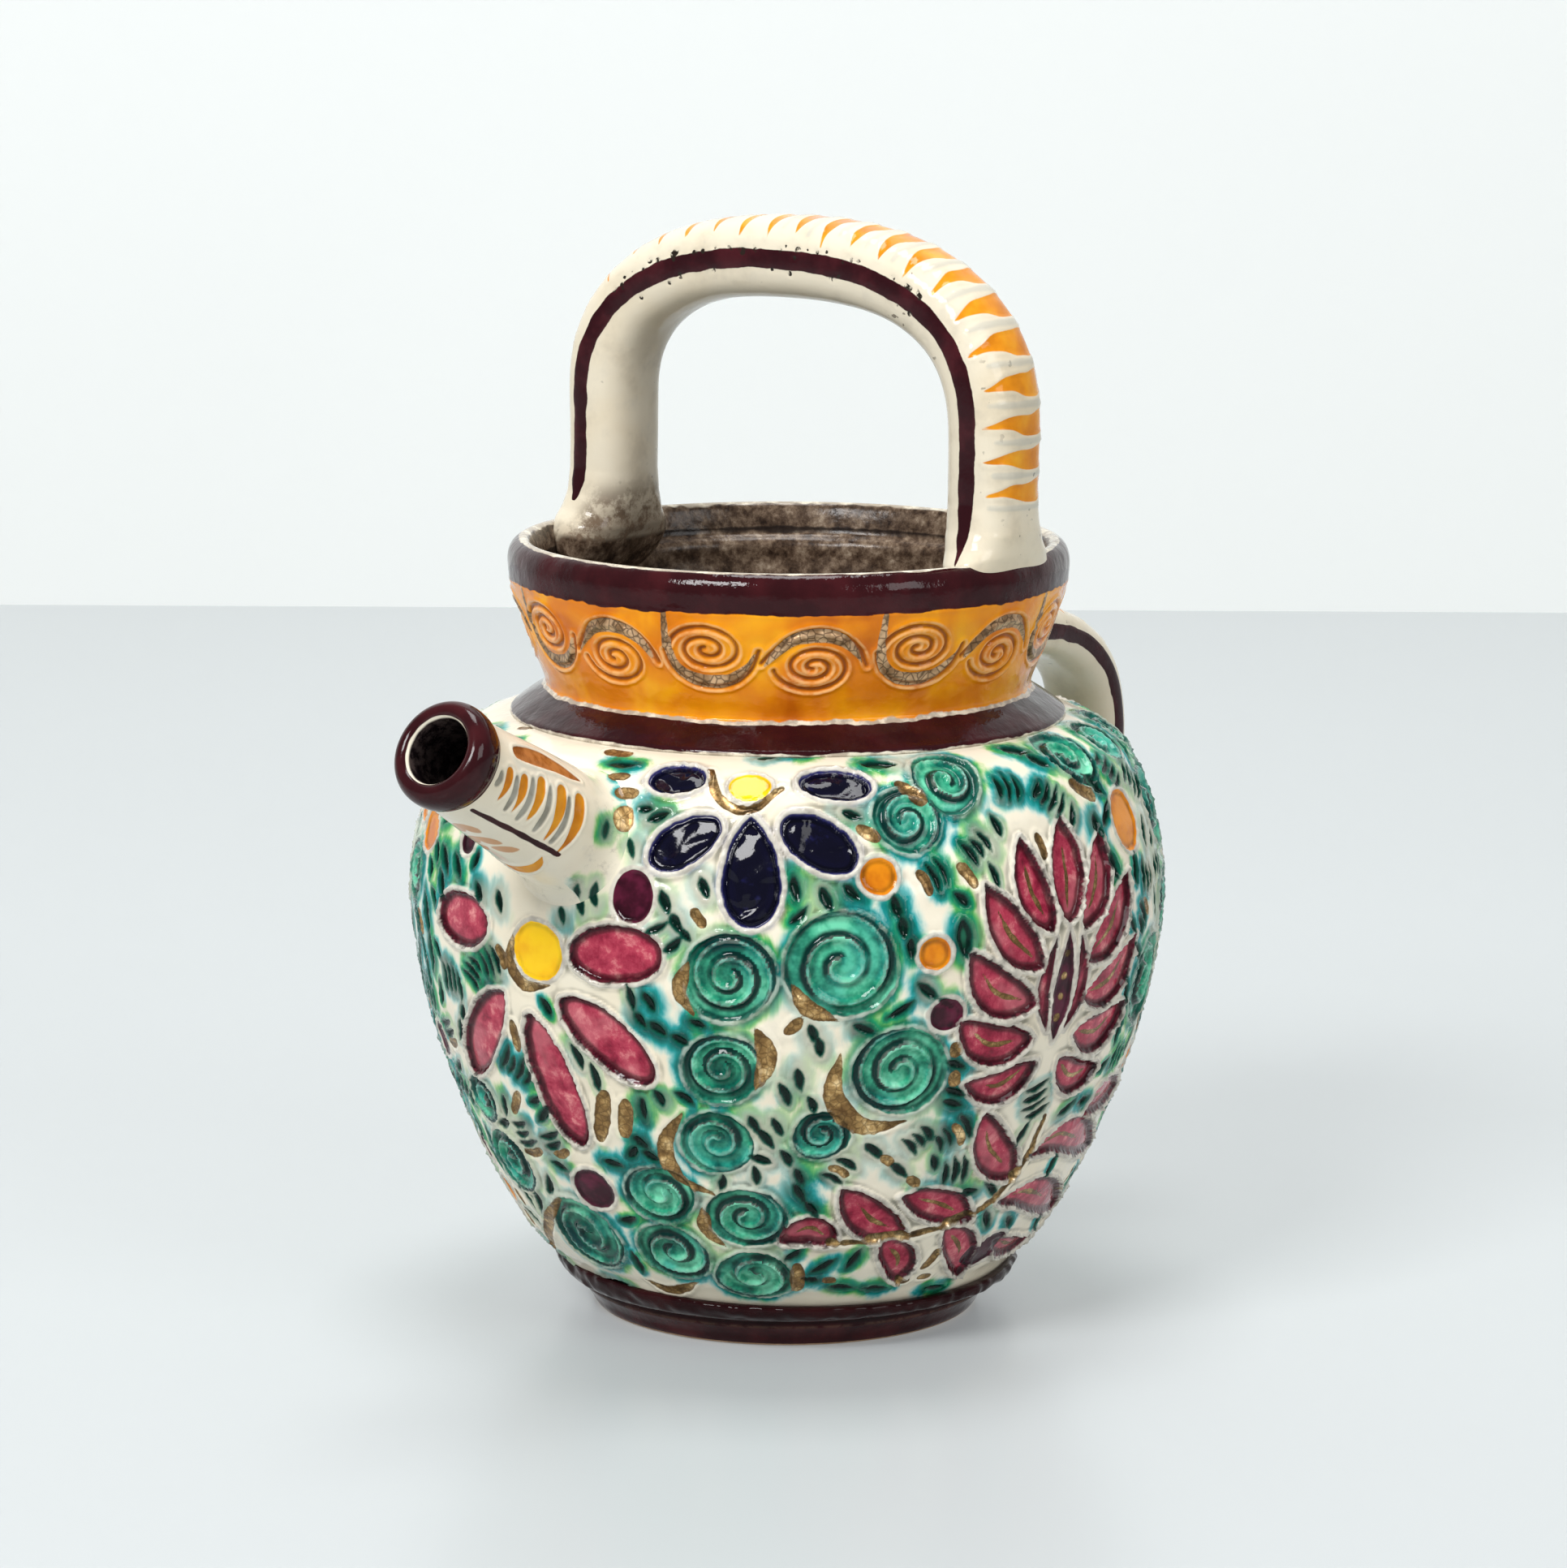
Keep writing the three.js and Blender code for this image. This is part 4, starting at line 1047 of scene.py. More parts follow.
# ---------------------------------------------------------------- the neck
NECK_OUT = [(46.7, 101.62), (46.5, 102.3), (45.5, 103.1), (43.6, 104.5), (41.6, 105.8), (40.75, 106.6), (40.85, 107.6), (42.2, 111), (43.6, 115),
            (45, 119), (46.3, 122.5), (46.85, 126), (46.8, 128.4), (46.2, 129.9), (45.3, 130.75), (44.4, 130.98), (43.4, 130.5), (42.6, 128.8), (42.05, 126.6)]
NECK_IN = [(42.05, 126.6), (41.95, 125.6), (40.7, 125.0), (39.95, 124.0), (39.9, 121.5), (38.7, 115), (37.7, 108), (37.55, 102)]
ncols = 960
nout = smooth_path(NECK_OUT, 0.30)
nin = smooth_path(NECK_IN, 0.8)[1:]
nprof = np.vstack([nout, nin])
top_i = int(np.argmax(nout[:, 1]))
band = Turned(nout[:top_i], ncols, 51)


def scroll(th0, s0, up):
    """One curl of the running scroll, with a lustre crescent along its outer sweep."""
    m = 1 if up else -1
    a = np.linspace(0, 2.15 * 2 * math.pi, 70)
    rho = 0.10 + 0.90 * (a / a[-1]) ** 1.05
    ang = math.pi * 0.95 + (a - a[-1])
    x, y = 6.5 * rho * np.cos(ang), m * 4.5 * rho * np.sin(ang)
    t_ = np.linspace(math.pi * 0.95, math.pi * 0.25, 10)[1:]
    win = band.window(th0, s0, 15.0)
    ix, u, v = win
    # the outer sweep starts at the rim side, runs round the curl and ends at the next one
    head = [(-6.9, 6.6), (-7.2, 3.6), (-7.3, 0.4)] if up else [(-8.5, 0.6)]
    sweep = smooth_path(head + [(-6.3, m * -3.2), (-3.6, m * -5.7), (0.2, m * -6.7), (4.2, m * -5.9),
                                (7.2, m * -3.3), (8.65, m * 0.0)], 0.6)
    d1 = stroke(u, v, np.column_stack([x, y]), np.zeros(len(x)))
    first = len(sweep) // 4 if up else 0
    d2 = stroke(u, v, sweep[first:], np.zeros(len(sweep) - first))
    f = band.field("line")
    f[ix] = np.minimum(f[ix], np.minimum(d1, d2) + 0.6 * band.wob[ix])
    head = [(-6.75, 6.2), (-6.85, 3.4), (-6.7, 0.6)] if up else [(-7.9, 0.3)]
    mid = smooth_path(head + [(-5.6, m * -3.0), (-3.2, m * -5.0), (0.2, m * -5.75), (3.8, m * -5.1),
                              (6.4, m * -3.0), (7.9, m * -0.6)], 0.6)
    if up:
        w = np.interp(np.linspace(0, 1, len(mid)), [0, .10, .3, .5, .68, .85, 1], [.45, .65, .80, 1.15, 1.25, .8, .1])
    else:
        w = np.interp(np.linspace(0, 1, len(mid)), [0, .2, .45, .7, .88, 1], [.15, .85, 1.25, 1.1, .6, .1])
    d = stroke(u, v, mid, w) + 0.7 * band.wob[ix]
    f = band.field("gold")
    f[ix] = np.minimum(f[ix], d)


neck_th, neck_s = band.at(1003, 822)
up_th, up_s = band.at(880, 801)
CURLS = 16
for i in range(CURLS):
    up = i % 2 == 1
    ang = neck_th + i * 2 * math.pi / CURLS
    scroll(ang, up_s if up else neck_s, up)
line = band.field("line")
gold = band.field("gold")
cut = -0.36 * (1 - step01(line, 0.08, 0.58)) + 0.26 * np.exp(-((line - 0.85) / 0.34) ** 2) + 0.10 * (1 - step01(gold, -0.4, 0.2))
zz = band.p[:, 1]
cut *= (step01(zz, 107.5, 109) * (1 - step01(zz, 124.0, 125.2)))[:, None]
thn = band.th
hand_n = waves(61, thn, band.s, 24, 0.06, 0.25, 44.0) * 0.11 + waves(62, thn, band.s, 18, 0.3, 0.9, 44.0) * 0.03
low_edge = np.exp(-((zz - 124.3) / 0.45) ** 2)[:, None] * 0.12
cut = cut + hand_n * step01(band.s, 0.5, 3.0)[:, None] + low_edge
full = np.zeros((len(nprof), ncols))
full[:top_i] = cut
rim_fade = step01(np.arange(top_i), top_i - 10, top_i - 1)[:, None]
full[:top_i] *= (1 - rim_fade)
nor = normals_2d(nprof)
rad = nprof[:, 0:1] + full * nor[:, 0:1]
hgt = nprof[:, 1:2] + full * nor[:, 1:2]
th = band.th[None, :]
pos = np.stack([rad * np.cos(th), rad * np.sin(th), np.broadcast_to(hgt, rad.shape)], axis=-1)

s_n = lengths(nprof)
z_n = nprof[:, 1]
wobn = waves(71, thn, s_n, 22, 0.10, 0.9, 44.0) * 0.16 + waves(72, thn, s_n, 22, 1.0, 3.0, 44.0) * 0.08


def s_at(z, part=slice(0, top_i)):
    return float(np.interp(z, z_n[part], s_n[part]))


def band_field(lo, hi):
    c, h = (lo + hi) / 2, (hi - lo) / 2
    return np.abs(s_n - c)[:, None] - h + wobn


s_brown0, s_brown1 = 0.45, s_at(105.95)
s_or0, s_or1 = s_at(106.50), s_at(124.5)
s_top = s_n[top_i]
brown_ring = band_field(s_brown0, s_brown1)
brown_rim = band_field(s_or1, s_top - 0.75)
cream_line = np.minimum(band_field(-1.0, s_or0), band_field(s_top - 2.0, s_top + 3.0))
inner_zone = (s_top + 1.0) - s_n[:, None] + wobn * 2.0
# the band of painted shade in the corner under the inner ledge
groove_zone = np.abs(s_n - (s_top + 5.6))[:, None] - 0.35 + wobn
attrs = {"line": np.full((len(nprof), ncols), 6.0), "gold": np.full((len(nprof), ncols), 6.0)}
attrs["line"][:top_i] = np.clip(line, -6, 6)
attrs["gold"][:top_i] = np.clip(gold, -6, 6)
attrs["brown"] = np.clip(np.minimum(brown_ring, brown_rim), -6, 6)
attrs["cream"] = np.clip(cream_line, -6, 6)
attrs["inner"] = np.clip(inner_zone, -6, 6)
attrs["groove"] = np.clip(groove_zone, -6, 6)
neck = grid_mesh("neck", pos, attrs, closed=True)
neck.data.materials.append(neck_material())
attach(neck, "root")
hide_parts("neck_collar", "neck_slip_seam")

# ---------------------------------------------------------------- the foot
FOOT = [(27.0, 9.35), (27.0, 4.0), (27.1, 0.9), (27.6, 0.15), (28.4, 0.0), (31.4, 0.0), (32.3, 0.2), (32.9, 0.9), (33.5, 2.0), (34.4, 3.2),
        (34.95, 3.9), (34.9, 4.5), (35.0, 5.0), (36.2, 5.2), (37.6, 5.8), (38.7, 6.9), (39.35, 8.0), (39.5, 8.7), (39.2, 9.1), (38.2, 9.2), (37.2, 9.0)]
fcols = 720
fprof = smooth_path(FOOT, 0.32)
fprof[:, 1] = np.maximum(fprof[:, 1], 0.0)
fth = SEAM + 2 * math.pi * np.arange(fcols) / fcols
fs = lengths(fprof)
fdisp = waves(81, fth, fs, 20, 0.08, 0.4, 35.0) * 0.07 * step01(fprof[:, 1], 0.6, 2.0)[:, None]
nor = normals_2d(fprof)
nor[fprof[:, 1] < 0.4] *= 0
# the lip stands a little higher on one side and has a ragged edge
ragged = (waves(83, fth, fs, 40, 0.7, 2.6, 39.0) * 0.16 + waves(84, fth, fs, 20, 0.10, 0.4, 39.0) * 0.10) * (step01(fprof[:, 0], 36.4, 38.6) * step01(fprof[:, 1], 5.2, 6.2))[:, None]
slope = 0.2 + 0.9 * np.cos(fth + math.radians(144)) - 0.9 * np.cos(fth + math.radians(54))
rise = step01(fprof[:, 1], 5.0, 8.0)[:, None] * (fprof[:, 0] > 33)[:, None] * slope[None, :]
rad = fprof[:, 0:1] - fdisp * np.abs(nor[:, 0:1]) + ragged
pos = np.stack([rad * np.cos(fth)[None, :], rad * np.sin(fth)[None, :], fprof[:, 1:2] + rise], axis=-1)
worn = 0.30 * np.exp(-((fprof[:, 1] - 3.9) / 0.30) ** 2) * (fprof[:, 0] > 33)
# painted shade in the groove under the flange's lip, and a darker flange above it
groove_shade_ = np.exp(-((fprof[:, 1] - 4.8) / 0.45) ** 2) * (fprof[:, 0] > 33)
darker_flange_ = step01(fprof[:, 1], 5.0, 5.8) * (fprof[:, 0] > 33)
bare = ((fprof[:, 1] < 0.35) | (fprof[:, 0] < 27.3)).astype(float)
foot = grid_mesh("foot", pos, {"worn": np.repeat(worn[:, None], fcols, 1), "shade_and_darker_band": np.repeat(np.maximum(groove_shade_, 0.8 * darker_flange_)[:, None], fcols, 1), "bare": np.repeat(bare[:, None], fcols, 1)}, closed=True)
foot.data.materials.append(foot_material())
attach(foot, "root")
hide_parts("foot_ring", "foot_slip_seam")

# ---------------------------------------------------------------- the spout
TUBE = ([-9, 3, 10, 18, 27, 33.6], [10.1, 9.85, 9.55, 9.05, 8.45, 8.05])
LIP = [(8.05, 33.6), (8.1, 34.4), (8.5, 35.2), (8.8, 36.9), (8.6, 38.7), (7.85, 39.9), (6.9, 40.35), (6.0, 40.1), (5.45, 39.3)]
SPOUT_BORE = [(5.45, 39.3), (5.4, 37.5), (5.7, 30), (5.75, 20), (5.75, 5), (5.75, -1.0), (6.1, -2.4), (7.4, -3.1)]
scols = 240
phi = math.pi + 2 * math.pi * np.arange(scols) / scols
pdeg = (np.degrees(phi) + 180) % 360 - 180
side = np.array([1.0, 0.0, 0.0])
ray = np.cos(phi)[:, None] * SPOUT_TOP + np.sin(phi)[:, None] * side


def on_tube(t):
    return SPOUT_BASE + np.multiply.outer(t, SPOUT_AXIS) + np.interp(t, *TUBE)[:, None] * ray


# where each line of the tube meets the belly, and a fillet tangent to both
scan = np.linspace(-10, 26, 721)
meet = np.empty(scols)
for j in range(scols):
    q = SPOUT_BASE + scan[:, None] * SPOUT_AXIS + np.interp(scan, *TUBE)[:, None] * ray[j]
    gap = np.hypot(q[:, 0], q[:, 1]) - np.interp(q[:, 2], outer[:, 1], outer[:, 0])
    meet[j] = scan[np.nonzero(gap < 0)[0][-1]]
start = meet + 4.6
p0, p1 = on_tube(start), on_tube(meet)
onor = normals_2d(outer)
nr, nz = np.interp(p1[:, 2], outer[:, 1], onor[:, 0]), np.interp(p1[:, 2], outer[:, 1], onor[:, 1])
pl = np.hypot(p1[:, 0], p1[:, 1])
nb = np.column_stack([nr * p1[:, 0] / pl, nr * p1[:, 1] / pl, nz])
slide = ray - (ray * nb).sum(1)[:, None] * nb
slide /= np.linalg.norm(slide, axis=1)[:, None]
p2 = p1 + 2.4 * slide
rr = np.interp(p2[:, 2], outer[:, 1], outer[:, 0]) - 0.20
pl = np.hypot(p2[:, 0], p2[:, 1])
p2 = np.column_stack([p2[:, 0] * rr / pl, p2[:, 1] * rr / pl, p2[:, 2]])
lam = np.linspace(0, 1, 24)[:, None, None]
fillet = (1 - lam) ** 2 * p2 + 2 * lam * (1 - lam) * p1 + lam ** 2 * p0
lam = np.linspace(0, 1, 84)[1:]
tube_t = start[None, :] + lam[:, None] * (33.6 - start[None, :])
tube = np.stack([on_tube(row) for row in tube_t])
lip = smooth_path(LIP, 0.28)[1:]
bore = smooth_path(SPOUT_BORE, 1.0)[1:]
ring = np.vstack([lip, bore])
mouth = SPOUT_BASE + ring[:, 1][:, None, None] * SPOUT_AXIS + ring[:, 0][:, None, None] * ray[None]
pos = np.concatenate([fillet, tube, mouth])
rows_f, rows_t, rows_l = len(fillet), len(fillet) + len(tube), len(fillet) + len(tube) + len(lip)
tt = (pos - SPOUT_BASE) @ SPOUT_AXIS
srow = lengths(pos.mean(axis=1) * 0 + pos[:, 0])
wobs = waves(91, phi, srow, 22, 0.5, 2.0, 9.0) * 0.07


def spout_motif(spine_, width, profile_, field, store):
    """Spine points are (degrees round from the top, mm along)."""
    p = np.asarray(spine_, float)
    c = p.mean(axis=0)
    scale = math.radians(1) * float(np.interp(c[1], [8, 14, 20, 27, 34], [10.6, 9.6, 8.9, 8.3, 8.0]))
    pts, w = shape_line([((a - c[0]) * scale, t - c[1]) for a, t in p], width, profile_)
    u = ((pdeg - c[0] + 180) % 360 - 180)[None, :] * scale * np.ones((len(pos), 1))
    v = tt - c[1]
    d = stroke(u, v, pts, w) + wobs
    d[rows_t:] = 6.0
    store[field] = np.minimum(store.get(field, np.full(u.shape, 6.0)), d)


sf = {}
for m in (1, -1):
    spout_motif([(m * 60, 30.6), (m * 48, 21.8), (m * 50, 12.4)], 1.75, "tongue", "leaf", sf)
    for a0_, a1_, t0, t1, w in [(80, 122, 31.2, 30.7, .86), (79, 123, 27.7, 26.5, .95), (71, 125, 23.4, 22.7, 1.08), (68, 128, 18.4, 16.8, 1.25), (66, 132, 13.5, 12.6, 1.34)]:
        spout_motif([(m * a0_, t0), (m * (a0_ + a1_) / 2, (t0 + t1) / 2 - 0.35), (m * a1_, t1)], w, "comma", "oran", sf)
    for a0_, a1_, t0, t1 in [(88, 108, 33.0, 32.9), (84, 126, 29.3, 27.9), (77, 127, 25.5, 24.5), (75, 127, 21.1, 19.9), (75, 127, 16.1, 15.3)]:
        spout_motif([(m * a0_, t0), (m * (a0_ + a1_) / 2, (t0 + t1) / 2 - 0.3), (m * a1_, t1)], 0.60, "even", "grey", sf)
    spout_motif([(m * 146.4, 32.9), (m * 137.8, 22.5), (m * 131, 11.5)], 0.52, "even", "brown", sf)
    for a0_, a1_, t0, t1 in [(180, 166, 29.5, 25.8), (181, 160, 24.6, 21.0), (178, 152, 20.4, 18.0)]:
        spout_motif([(m * a0_, t0), (m * (a0_ + a1_) / 2, (t0 + t1) / 2), (m * a1_, t1)], 1.15, "leaf", "pale", sf)
spout_motif([(142, 14.0), (156, 12.3), (180, 11.6), (204, 12.3), (218, 14.0)], 1.25, "leaf", "oran", sf)
run = np.concatenate([np.full(rows_t, -1.0), lengths(np.vstack([[LIP[0]], ring]))[1:]])[:, None]
run = np.broadcast_to(run, tt.shape).copy()
run[:rows_t] = tt[:rows_t] - 33.6
top_run = float(run[rows_t + int(np.argmax(ring[:, 1])), 0])
lip0, lip1 = 0.55, top_run + 1.25
lipband = np.abs(run - (lip0 + lip1) / 2) - (lip1 - lip0) / 2 + wobs * 0.8
sf["brown"] = np.minimum(sf["brown"], lipband)
sf["edge"] = np.abs(run - (lip1 + 0.2)) + 0.20 + wobs * 3.2
sf["bore"] = (lip1 + 0.5) - run + wobs

# the belly's strokes run on over the right-hand root of the spout
rel = (pos - EYE)
depth_ = rel @ FORWARD
fa, fb = rel @ RIGHT / depth_ * VIEW_F, -(rel @ UP) / depth_ * VIEW_F
cr_, sr_ = math.cos(VIEW_ROLL), math.sin(VIEW_ROLL)
fx_, fy_ = 965.5 + cr_ * fa - sr_ * fb, 966.0 + sr_ * fa + cr_ * fb
here = np.zeros(tt.shape, bool)
here[:rows_f + 14] = ((pdeg > 2) & (pdeg < 155))[None, :]
sf["halo"] = np.ones(tt.shape)
for key in ("dash", "gold"):
    sf[key] = np.full(tt.shape, 6.0)
for spine_, width, kind in [
        ([(745, 926), (782, 930)], 1.15, "gold"), ([(749, 956), (778, 957)], 0.8, "gold"), ([(757, 976), (789, 978)], 1.1, "gold"),
        ([(769, 994), (769, 1024)], 1.8, "gold"), ([(748, 942), (786, 942)], 0.8, "dash"), ([(786, 998), (806, 996)], 0.7, "dash"),
        ([(776, 1036), (780, 1058)], 0.7, "dash"), ([(748, 1010), (745, 1034)], 0.55, "dash"), ([(712, 1088), (709, 1116)], 0.6, "dash"),
        ([(735, 1086), (728, 1120)], 0.65, "dash"), ([(696, 1112), (697, 1132)], 0.55, "dash")]:
    a_, b_ = np.asarray(spine_, float)
    pts, w_ = shape_line([tuple((a_ - a_) / 7.4), tuple((b_ - a_) / 7.4)], width, "even" if kind == "gold" else "leaf")
    d = np.where(here, stroke((fx_ - a_[0]) / 7.4, (fy_ - a_[1]) / 7.4, pts, w_) + wobs, 6.0)
    sf[kind] = np.minimum(sf[kind], d)
    sf["halo"] = np.minimum(sf["halo"], np.clip(d / (2.6 if kind == "dash" else 2.0) + (0.0 if kind == "dash" else 0.35), 0, 1))
# dirt and painted shade, strongest across the fillet's crease
sf["crease_dirt_and_shade"] = np.exp(-((np.arange(len(pos)) - rows_f * 0.75) / (rows_f * 0.5)) ** 2)[:, None] * np.ones(tt.shape)
for key in ("grey", "pale", "oran", "leaf", "brown", "edge", "bore"):
    sf[key] = np.clip(sf[key], -6, 6)
carved = np.minimum(sf["leaf"], np.minimum(sf["oran"], sf["grey"]))
sdisp = -0.18 * (1 - step01(carved, -0.3, 0.15)) + 0.18 * np.exp(-((carved - 0.4) / 0.3) ** 2)
sdisp = sdisp + waves(95, phi, srow, 18, 0.1, 0.4, 9.0) * 0.08
sdisp *= (step01(np.arange(len(pos)), rows_f - 14, rows_f + 6) * (1 - step01(np.arange(len(pos)), rows_t - 3, rows_t + 6)))[:, None]
pos = pos + sdisp[..., None] * ray[None]
spout = grid_mesh("spout", pos, sf, flip=True, closed=True)
spout.data.materials.append(spout_material())
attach(spout, "root")
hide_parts("spout", "spout_slip_fillet")


# ---------------------------------------------------------------- handles
def strap(name, centre, outward, across, half_t, half_w, power, columns, seed, lines, strokes, greys, soil_and_shade, pits, shift):
    """A pulled strap: rings of a rounded oblong along a path; s runs along, w round from the outer middle."""
    n = len(centre)
    al = 2 * math.pi * np.arange(columns) / columns + math.pi
    cx = np.sign(np.cos(al)) * np.abs(np.cos(al)) ** (2 / power)
    cy = np.sign(np.sin(al)) * np.abs(np.sin(al)) ** (2 / power)
    # even spacing round the section
    loop = np.column_stack([cx * np.mean(half_t), cy * np.mean(half_w)])
    fine = np.linspace(-math.pi, math.pi, 1441)
    fx = np.sign(np.cos(fine)) * np.abs(np.cos(fine)) ** (2 / power)
    fy = np.sign(np.sin(fine)) * np.abs(np.sin(fine)) ** (2 / power)
    peri = lengths(np.column_stack([fx * np.mean(half_t), fy * np.mean(half_w)]))
    total = peri[-1]
    tgt = np.linspace(0, total, columns, endpoint=False)
    cx, cy = np.interp(tgt, peri, fx), np.interp(tgt, peri, fy)
    w = tgt - total / 2
    s = lengths(centre)
    quarter = total / 4
    ww = np.broadcast_to(w[None, :], (n, columns))
    sv = np.broadcast_to(s[:, None], (n, columns))
    wob = waves(seed, w * 2 * math.pi / total, s, 24, 0.4, 1.6, total / (2 * math.pi)) * 0.10
    f = {}
    f["line"] = np.full((n, columns), 6.0)
    for sign, s0, s1, half in lines:
        taper = np.clip(np.minimum((s - s0) / 4.0, (s1 - s) / 9.0), -1, 1)
        hw = np.where(taper > 0, half * np.clip(taper, 0, 1) ** 0.6, -1.5)
        place = sign * quarter * shift
        f["line"] = np.minimum(f["line"], np.abs(ww - place[:, None]) - hw[:, None] + wob)
    for key, items in (("oran", strokes), ("grey", greys)):
        f[key] = np.full((n, columns), 6.0)
        for spine, width, prof in items:
            pts, rad_ = shape_line(spine, width, prof)
            lo, hi = pts[:, 1].min() - 4, pts[:, 1].max() + 4
            rows = np.nonzero((s > lo) & (s < hi))[0]
            if len(rows):
                d = stroke(ww[rows], sv[rows], pts, rad_) + wob[rows]
                f[key][rows] = np.minimum(f[key][rows], d)
    f["soil_and_shade"] = soil_and_shade(sv, ww, quarter)
    f["pits"] = np.full((n, columns), 6.0)
    for ps, pw, pr in pits:
        f["pits"] = np.minimum(f["pits"], np.hypot(sv - ps, ww - pw * quarter) - pr)
    h = -0.08 * (1 - step01(f["oran"], -0.3, 0.1)) + 0.10 * np.exp(-((f["oran"] - 0.35) / 0.3) ** 2) + 0.14 * (1 - step01(f["grey"], -0.35, 0.35))
    h = h + waves(seed + 3, w * 2 * math.pi / total, s, 20, 0.08, 0.4, total / (2 * math.pi)) * 0.12
    h = h + 0.05 * (1 - step01(f["line"], -0.3, 0.2)) - 0.18 * (1 - step01(f["pits"], -0.2, 0.2))
    off = np.stack([cx[None, :] * half_t[:, None], cy[None, :] * half_w[:, None]], axis=-1)
    nx, ny = cx / np.mean(half_t), cy / np.mean(half_w)
    ln = np.hypot(nx, ny)
    off = off + h[..., None] * np.stack([nx / ln, ny / ln], axis=-1)[None]
    pos = centre[:, None, :] + off[..., 0:1] * outward[:, None, :] + off[..., 1:2] * across[None, None, :]
    for key in f:
        f[key] = np.clip(f[key], -6, 6)
    vol = np.einsum('ij,ij->i', pos[n // 2, :] - centre[n // 2], np.cross(np.roll(pos[n // 2], -1, 0) - pos[n // 2], pos[n // 2 + 1] - pos[n // 2])).sum()
    return grid_mesh(name, pos, f, cap_start=centre[0], cap_end=centre[-1], flip=vol < 0)


# the overhead handle
arch = np.linspace(math.pi, 0, 400)
ax_ = 39 * np.sign(np.cos(arch)) * np.abs(np.cos(arch)) ** (2 / 2.46)
az_ = 150.9 + 26.9 * np.abs(np.sin(arch)) ** (2 / 2.46)
left = smooth_path([(-43.6, 119.0), (-42.2, 122.0), (-40.9, 125.0), (-40.1, 128.0), (-39.75, 131.0), (-39.2, 135.0), (-39.0, 140.0), (-39.0, 150.7)], 0.5)
right = smooth_path([(41.0, 122.0), (40.8, 125.0), (40.0, 128.0), (39.4, 131.0), (39.0, 136.0), (39.0, 150.7)], 0.5)
path = np.vstack([left, np.column_stack([ax_, az_]), right[::-1]])
path = even(path, 0.40)
tan = np.gradient(path, axis=0)
for _ in range(30):
    tan[1:-1] = (tan[:-2] + tan[1:-1] * 2 + tan[2:]) / 4
tan /= np.linalg.norm(tan, axis=1)[:, None]
centre = np.column_stack([path[:, 0] + 2.0, np.zeros(len(path)), path[:, 1]])
outw = np.column_stack([-tan[:, 1], np.zeros(len(path)), tan[:, 0]])
sp = lengths(path)
L = sp[-1]
end = np.minimum(sp, L - sp)
half_t = np.interp(path[:, 1], [122.0, 124.5, 127.5, 131.0, 135.0, 139.0, 168.0, 176.0], [1.6, 2.6, 4.2, 5.6, 6.4, 6.45, 6.5, 6.75])
spread = np.interp(path[:, 1], [119.0, 122.0, 125.0, 128.0, 131.0, 133.0, 136.0, 139.0], [1.2, 2.6, 4.6, 6.2, 6.85, 6.55, 6.42, 6.45])
half_t = np.where((path[:, 0] < 0) & (path[:, 1] < 139.0), spread, half_t)
half_w = np.interp(path[:, 1], [122.0, 126.0, 129.0, 131.0, 133.0, 136.0, 140.0], [10.0, 11.8, 12.2, 11.4, 9.8, 8.5, 7.8])
up_left = float(sp[np.nonzero(path[:, 1] > 134.0)[0][0]])
up_right = L - float(sp[np.nonzero(path[:, 1] > 130.5)[0][-1]])
strokes, greys = [], []
pos_s = 0.235 * L + 2.4
k = 0
while pos_s < L - 15.5:
    rel_s = pos_s / L
    slant = (rel_s - 0.5) * -1.5
    wide = np.interp(rel_s, [0.2, 0.42, 0.55], [1.15, 1.38, 1.80])
    near = np.interp(rel_s, [0.22, 0.36, 0.48, 0.60], [-7.0, -7.6, -8.4, -9.2])
    j = 0.6 * math.sin(k * 2.3)
    strokes.append(([(7.6 - j, pos_s + slant), (1.5, pos_s + 0.4), (-4.0, pos_s - 0.1), (near + j, pos_s - slant)], wide + 0.15 * math.sin(k * 1.7), "comma"))
    if rel_s > 0.5:
        greys.append(([(7.6, pos_s + 2.7), (0, pos_s + 2.8), (near + 1.4 - j, pos_s + 2.5)], 0.44, "even"))
    pos_s += 5.35
    k += 1
g = np.random.default_rng(17)
pits = []
for _ in range(110):
    c0 = g.choice([0.34, 0.38, 0.44, 0.47, 0.52, 0.56, 0.60, 0.68])
    pits.append((L * (c0 + g.normal(0, 0.02)), g.choice([-1, 1]) * g.choice([0.86, 1.14, 0.88, 0.84]) + g.normal(0, 0.03), g.uniform(.18, .62)))


# darker on the left leg's root inside the mouth and on the inner faces of both legs: dirt, with painted shade
def bail_soil_and_shade(s, w, q):
    left = np.maximum((1 - step01(s, 13.0, 23.0)) * step01(np.abs(w), 0.8 * q, 1.4 * q), 1.7 * (1 - step01(s, 8.5, 14.5)) * step01(np.abs(w), 0.5 * q, 1.1 * q))
    left = np.maximum(left, 1.7 * (1 - step01(s, 7.5, 11.5)))
    right = (1 - step01(L - s, 8.0, 12.0)) * step01(np.abs(w), 1.2 * q, 1.7 * q) * 0.6
    return np.maximum(left, right)


bail = strap("overhead_handle", centre, outw, np.array([0.0, 1.0, 0.0]), half_t, half_w, 2.6, 144, 141,
             [(-1, up_left, L - up_right, 1.5), (1, up_left, L - up_right, 1.5)], strokes, greys, bail_soil_and_shade, pits, np.interp(sp / L, [0.0, 0.22, 0.36], [0.86, 0.90, 1.0]))
bail.data.materials.append(handle_material())
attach(bail, "root")
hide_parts("bail_handle", "bail_slip_fillet_left", "bail_slip_fillet_right")

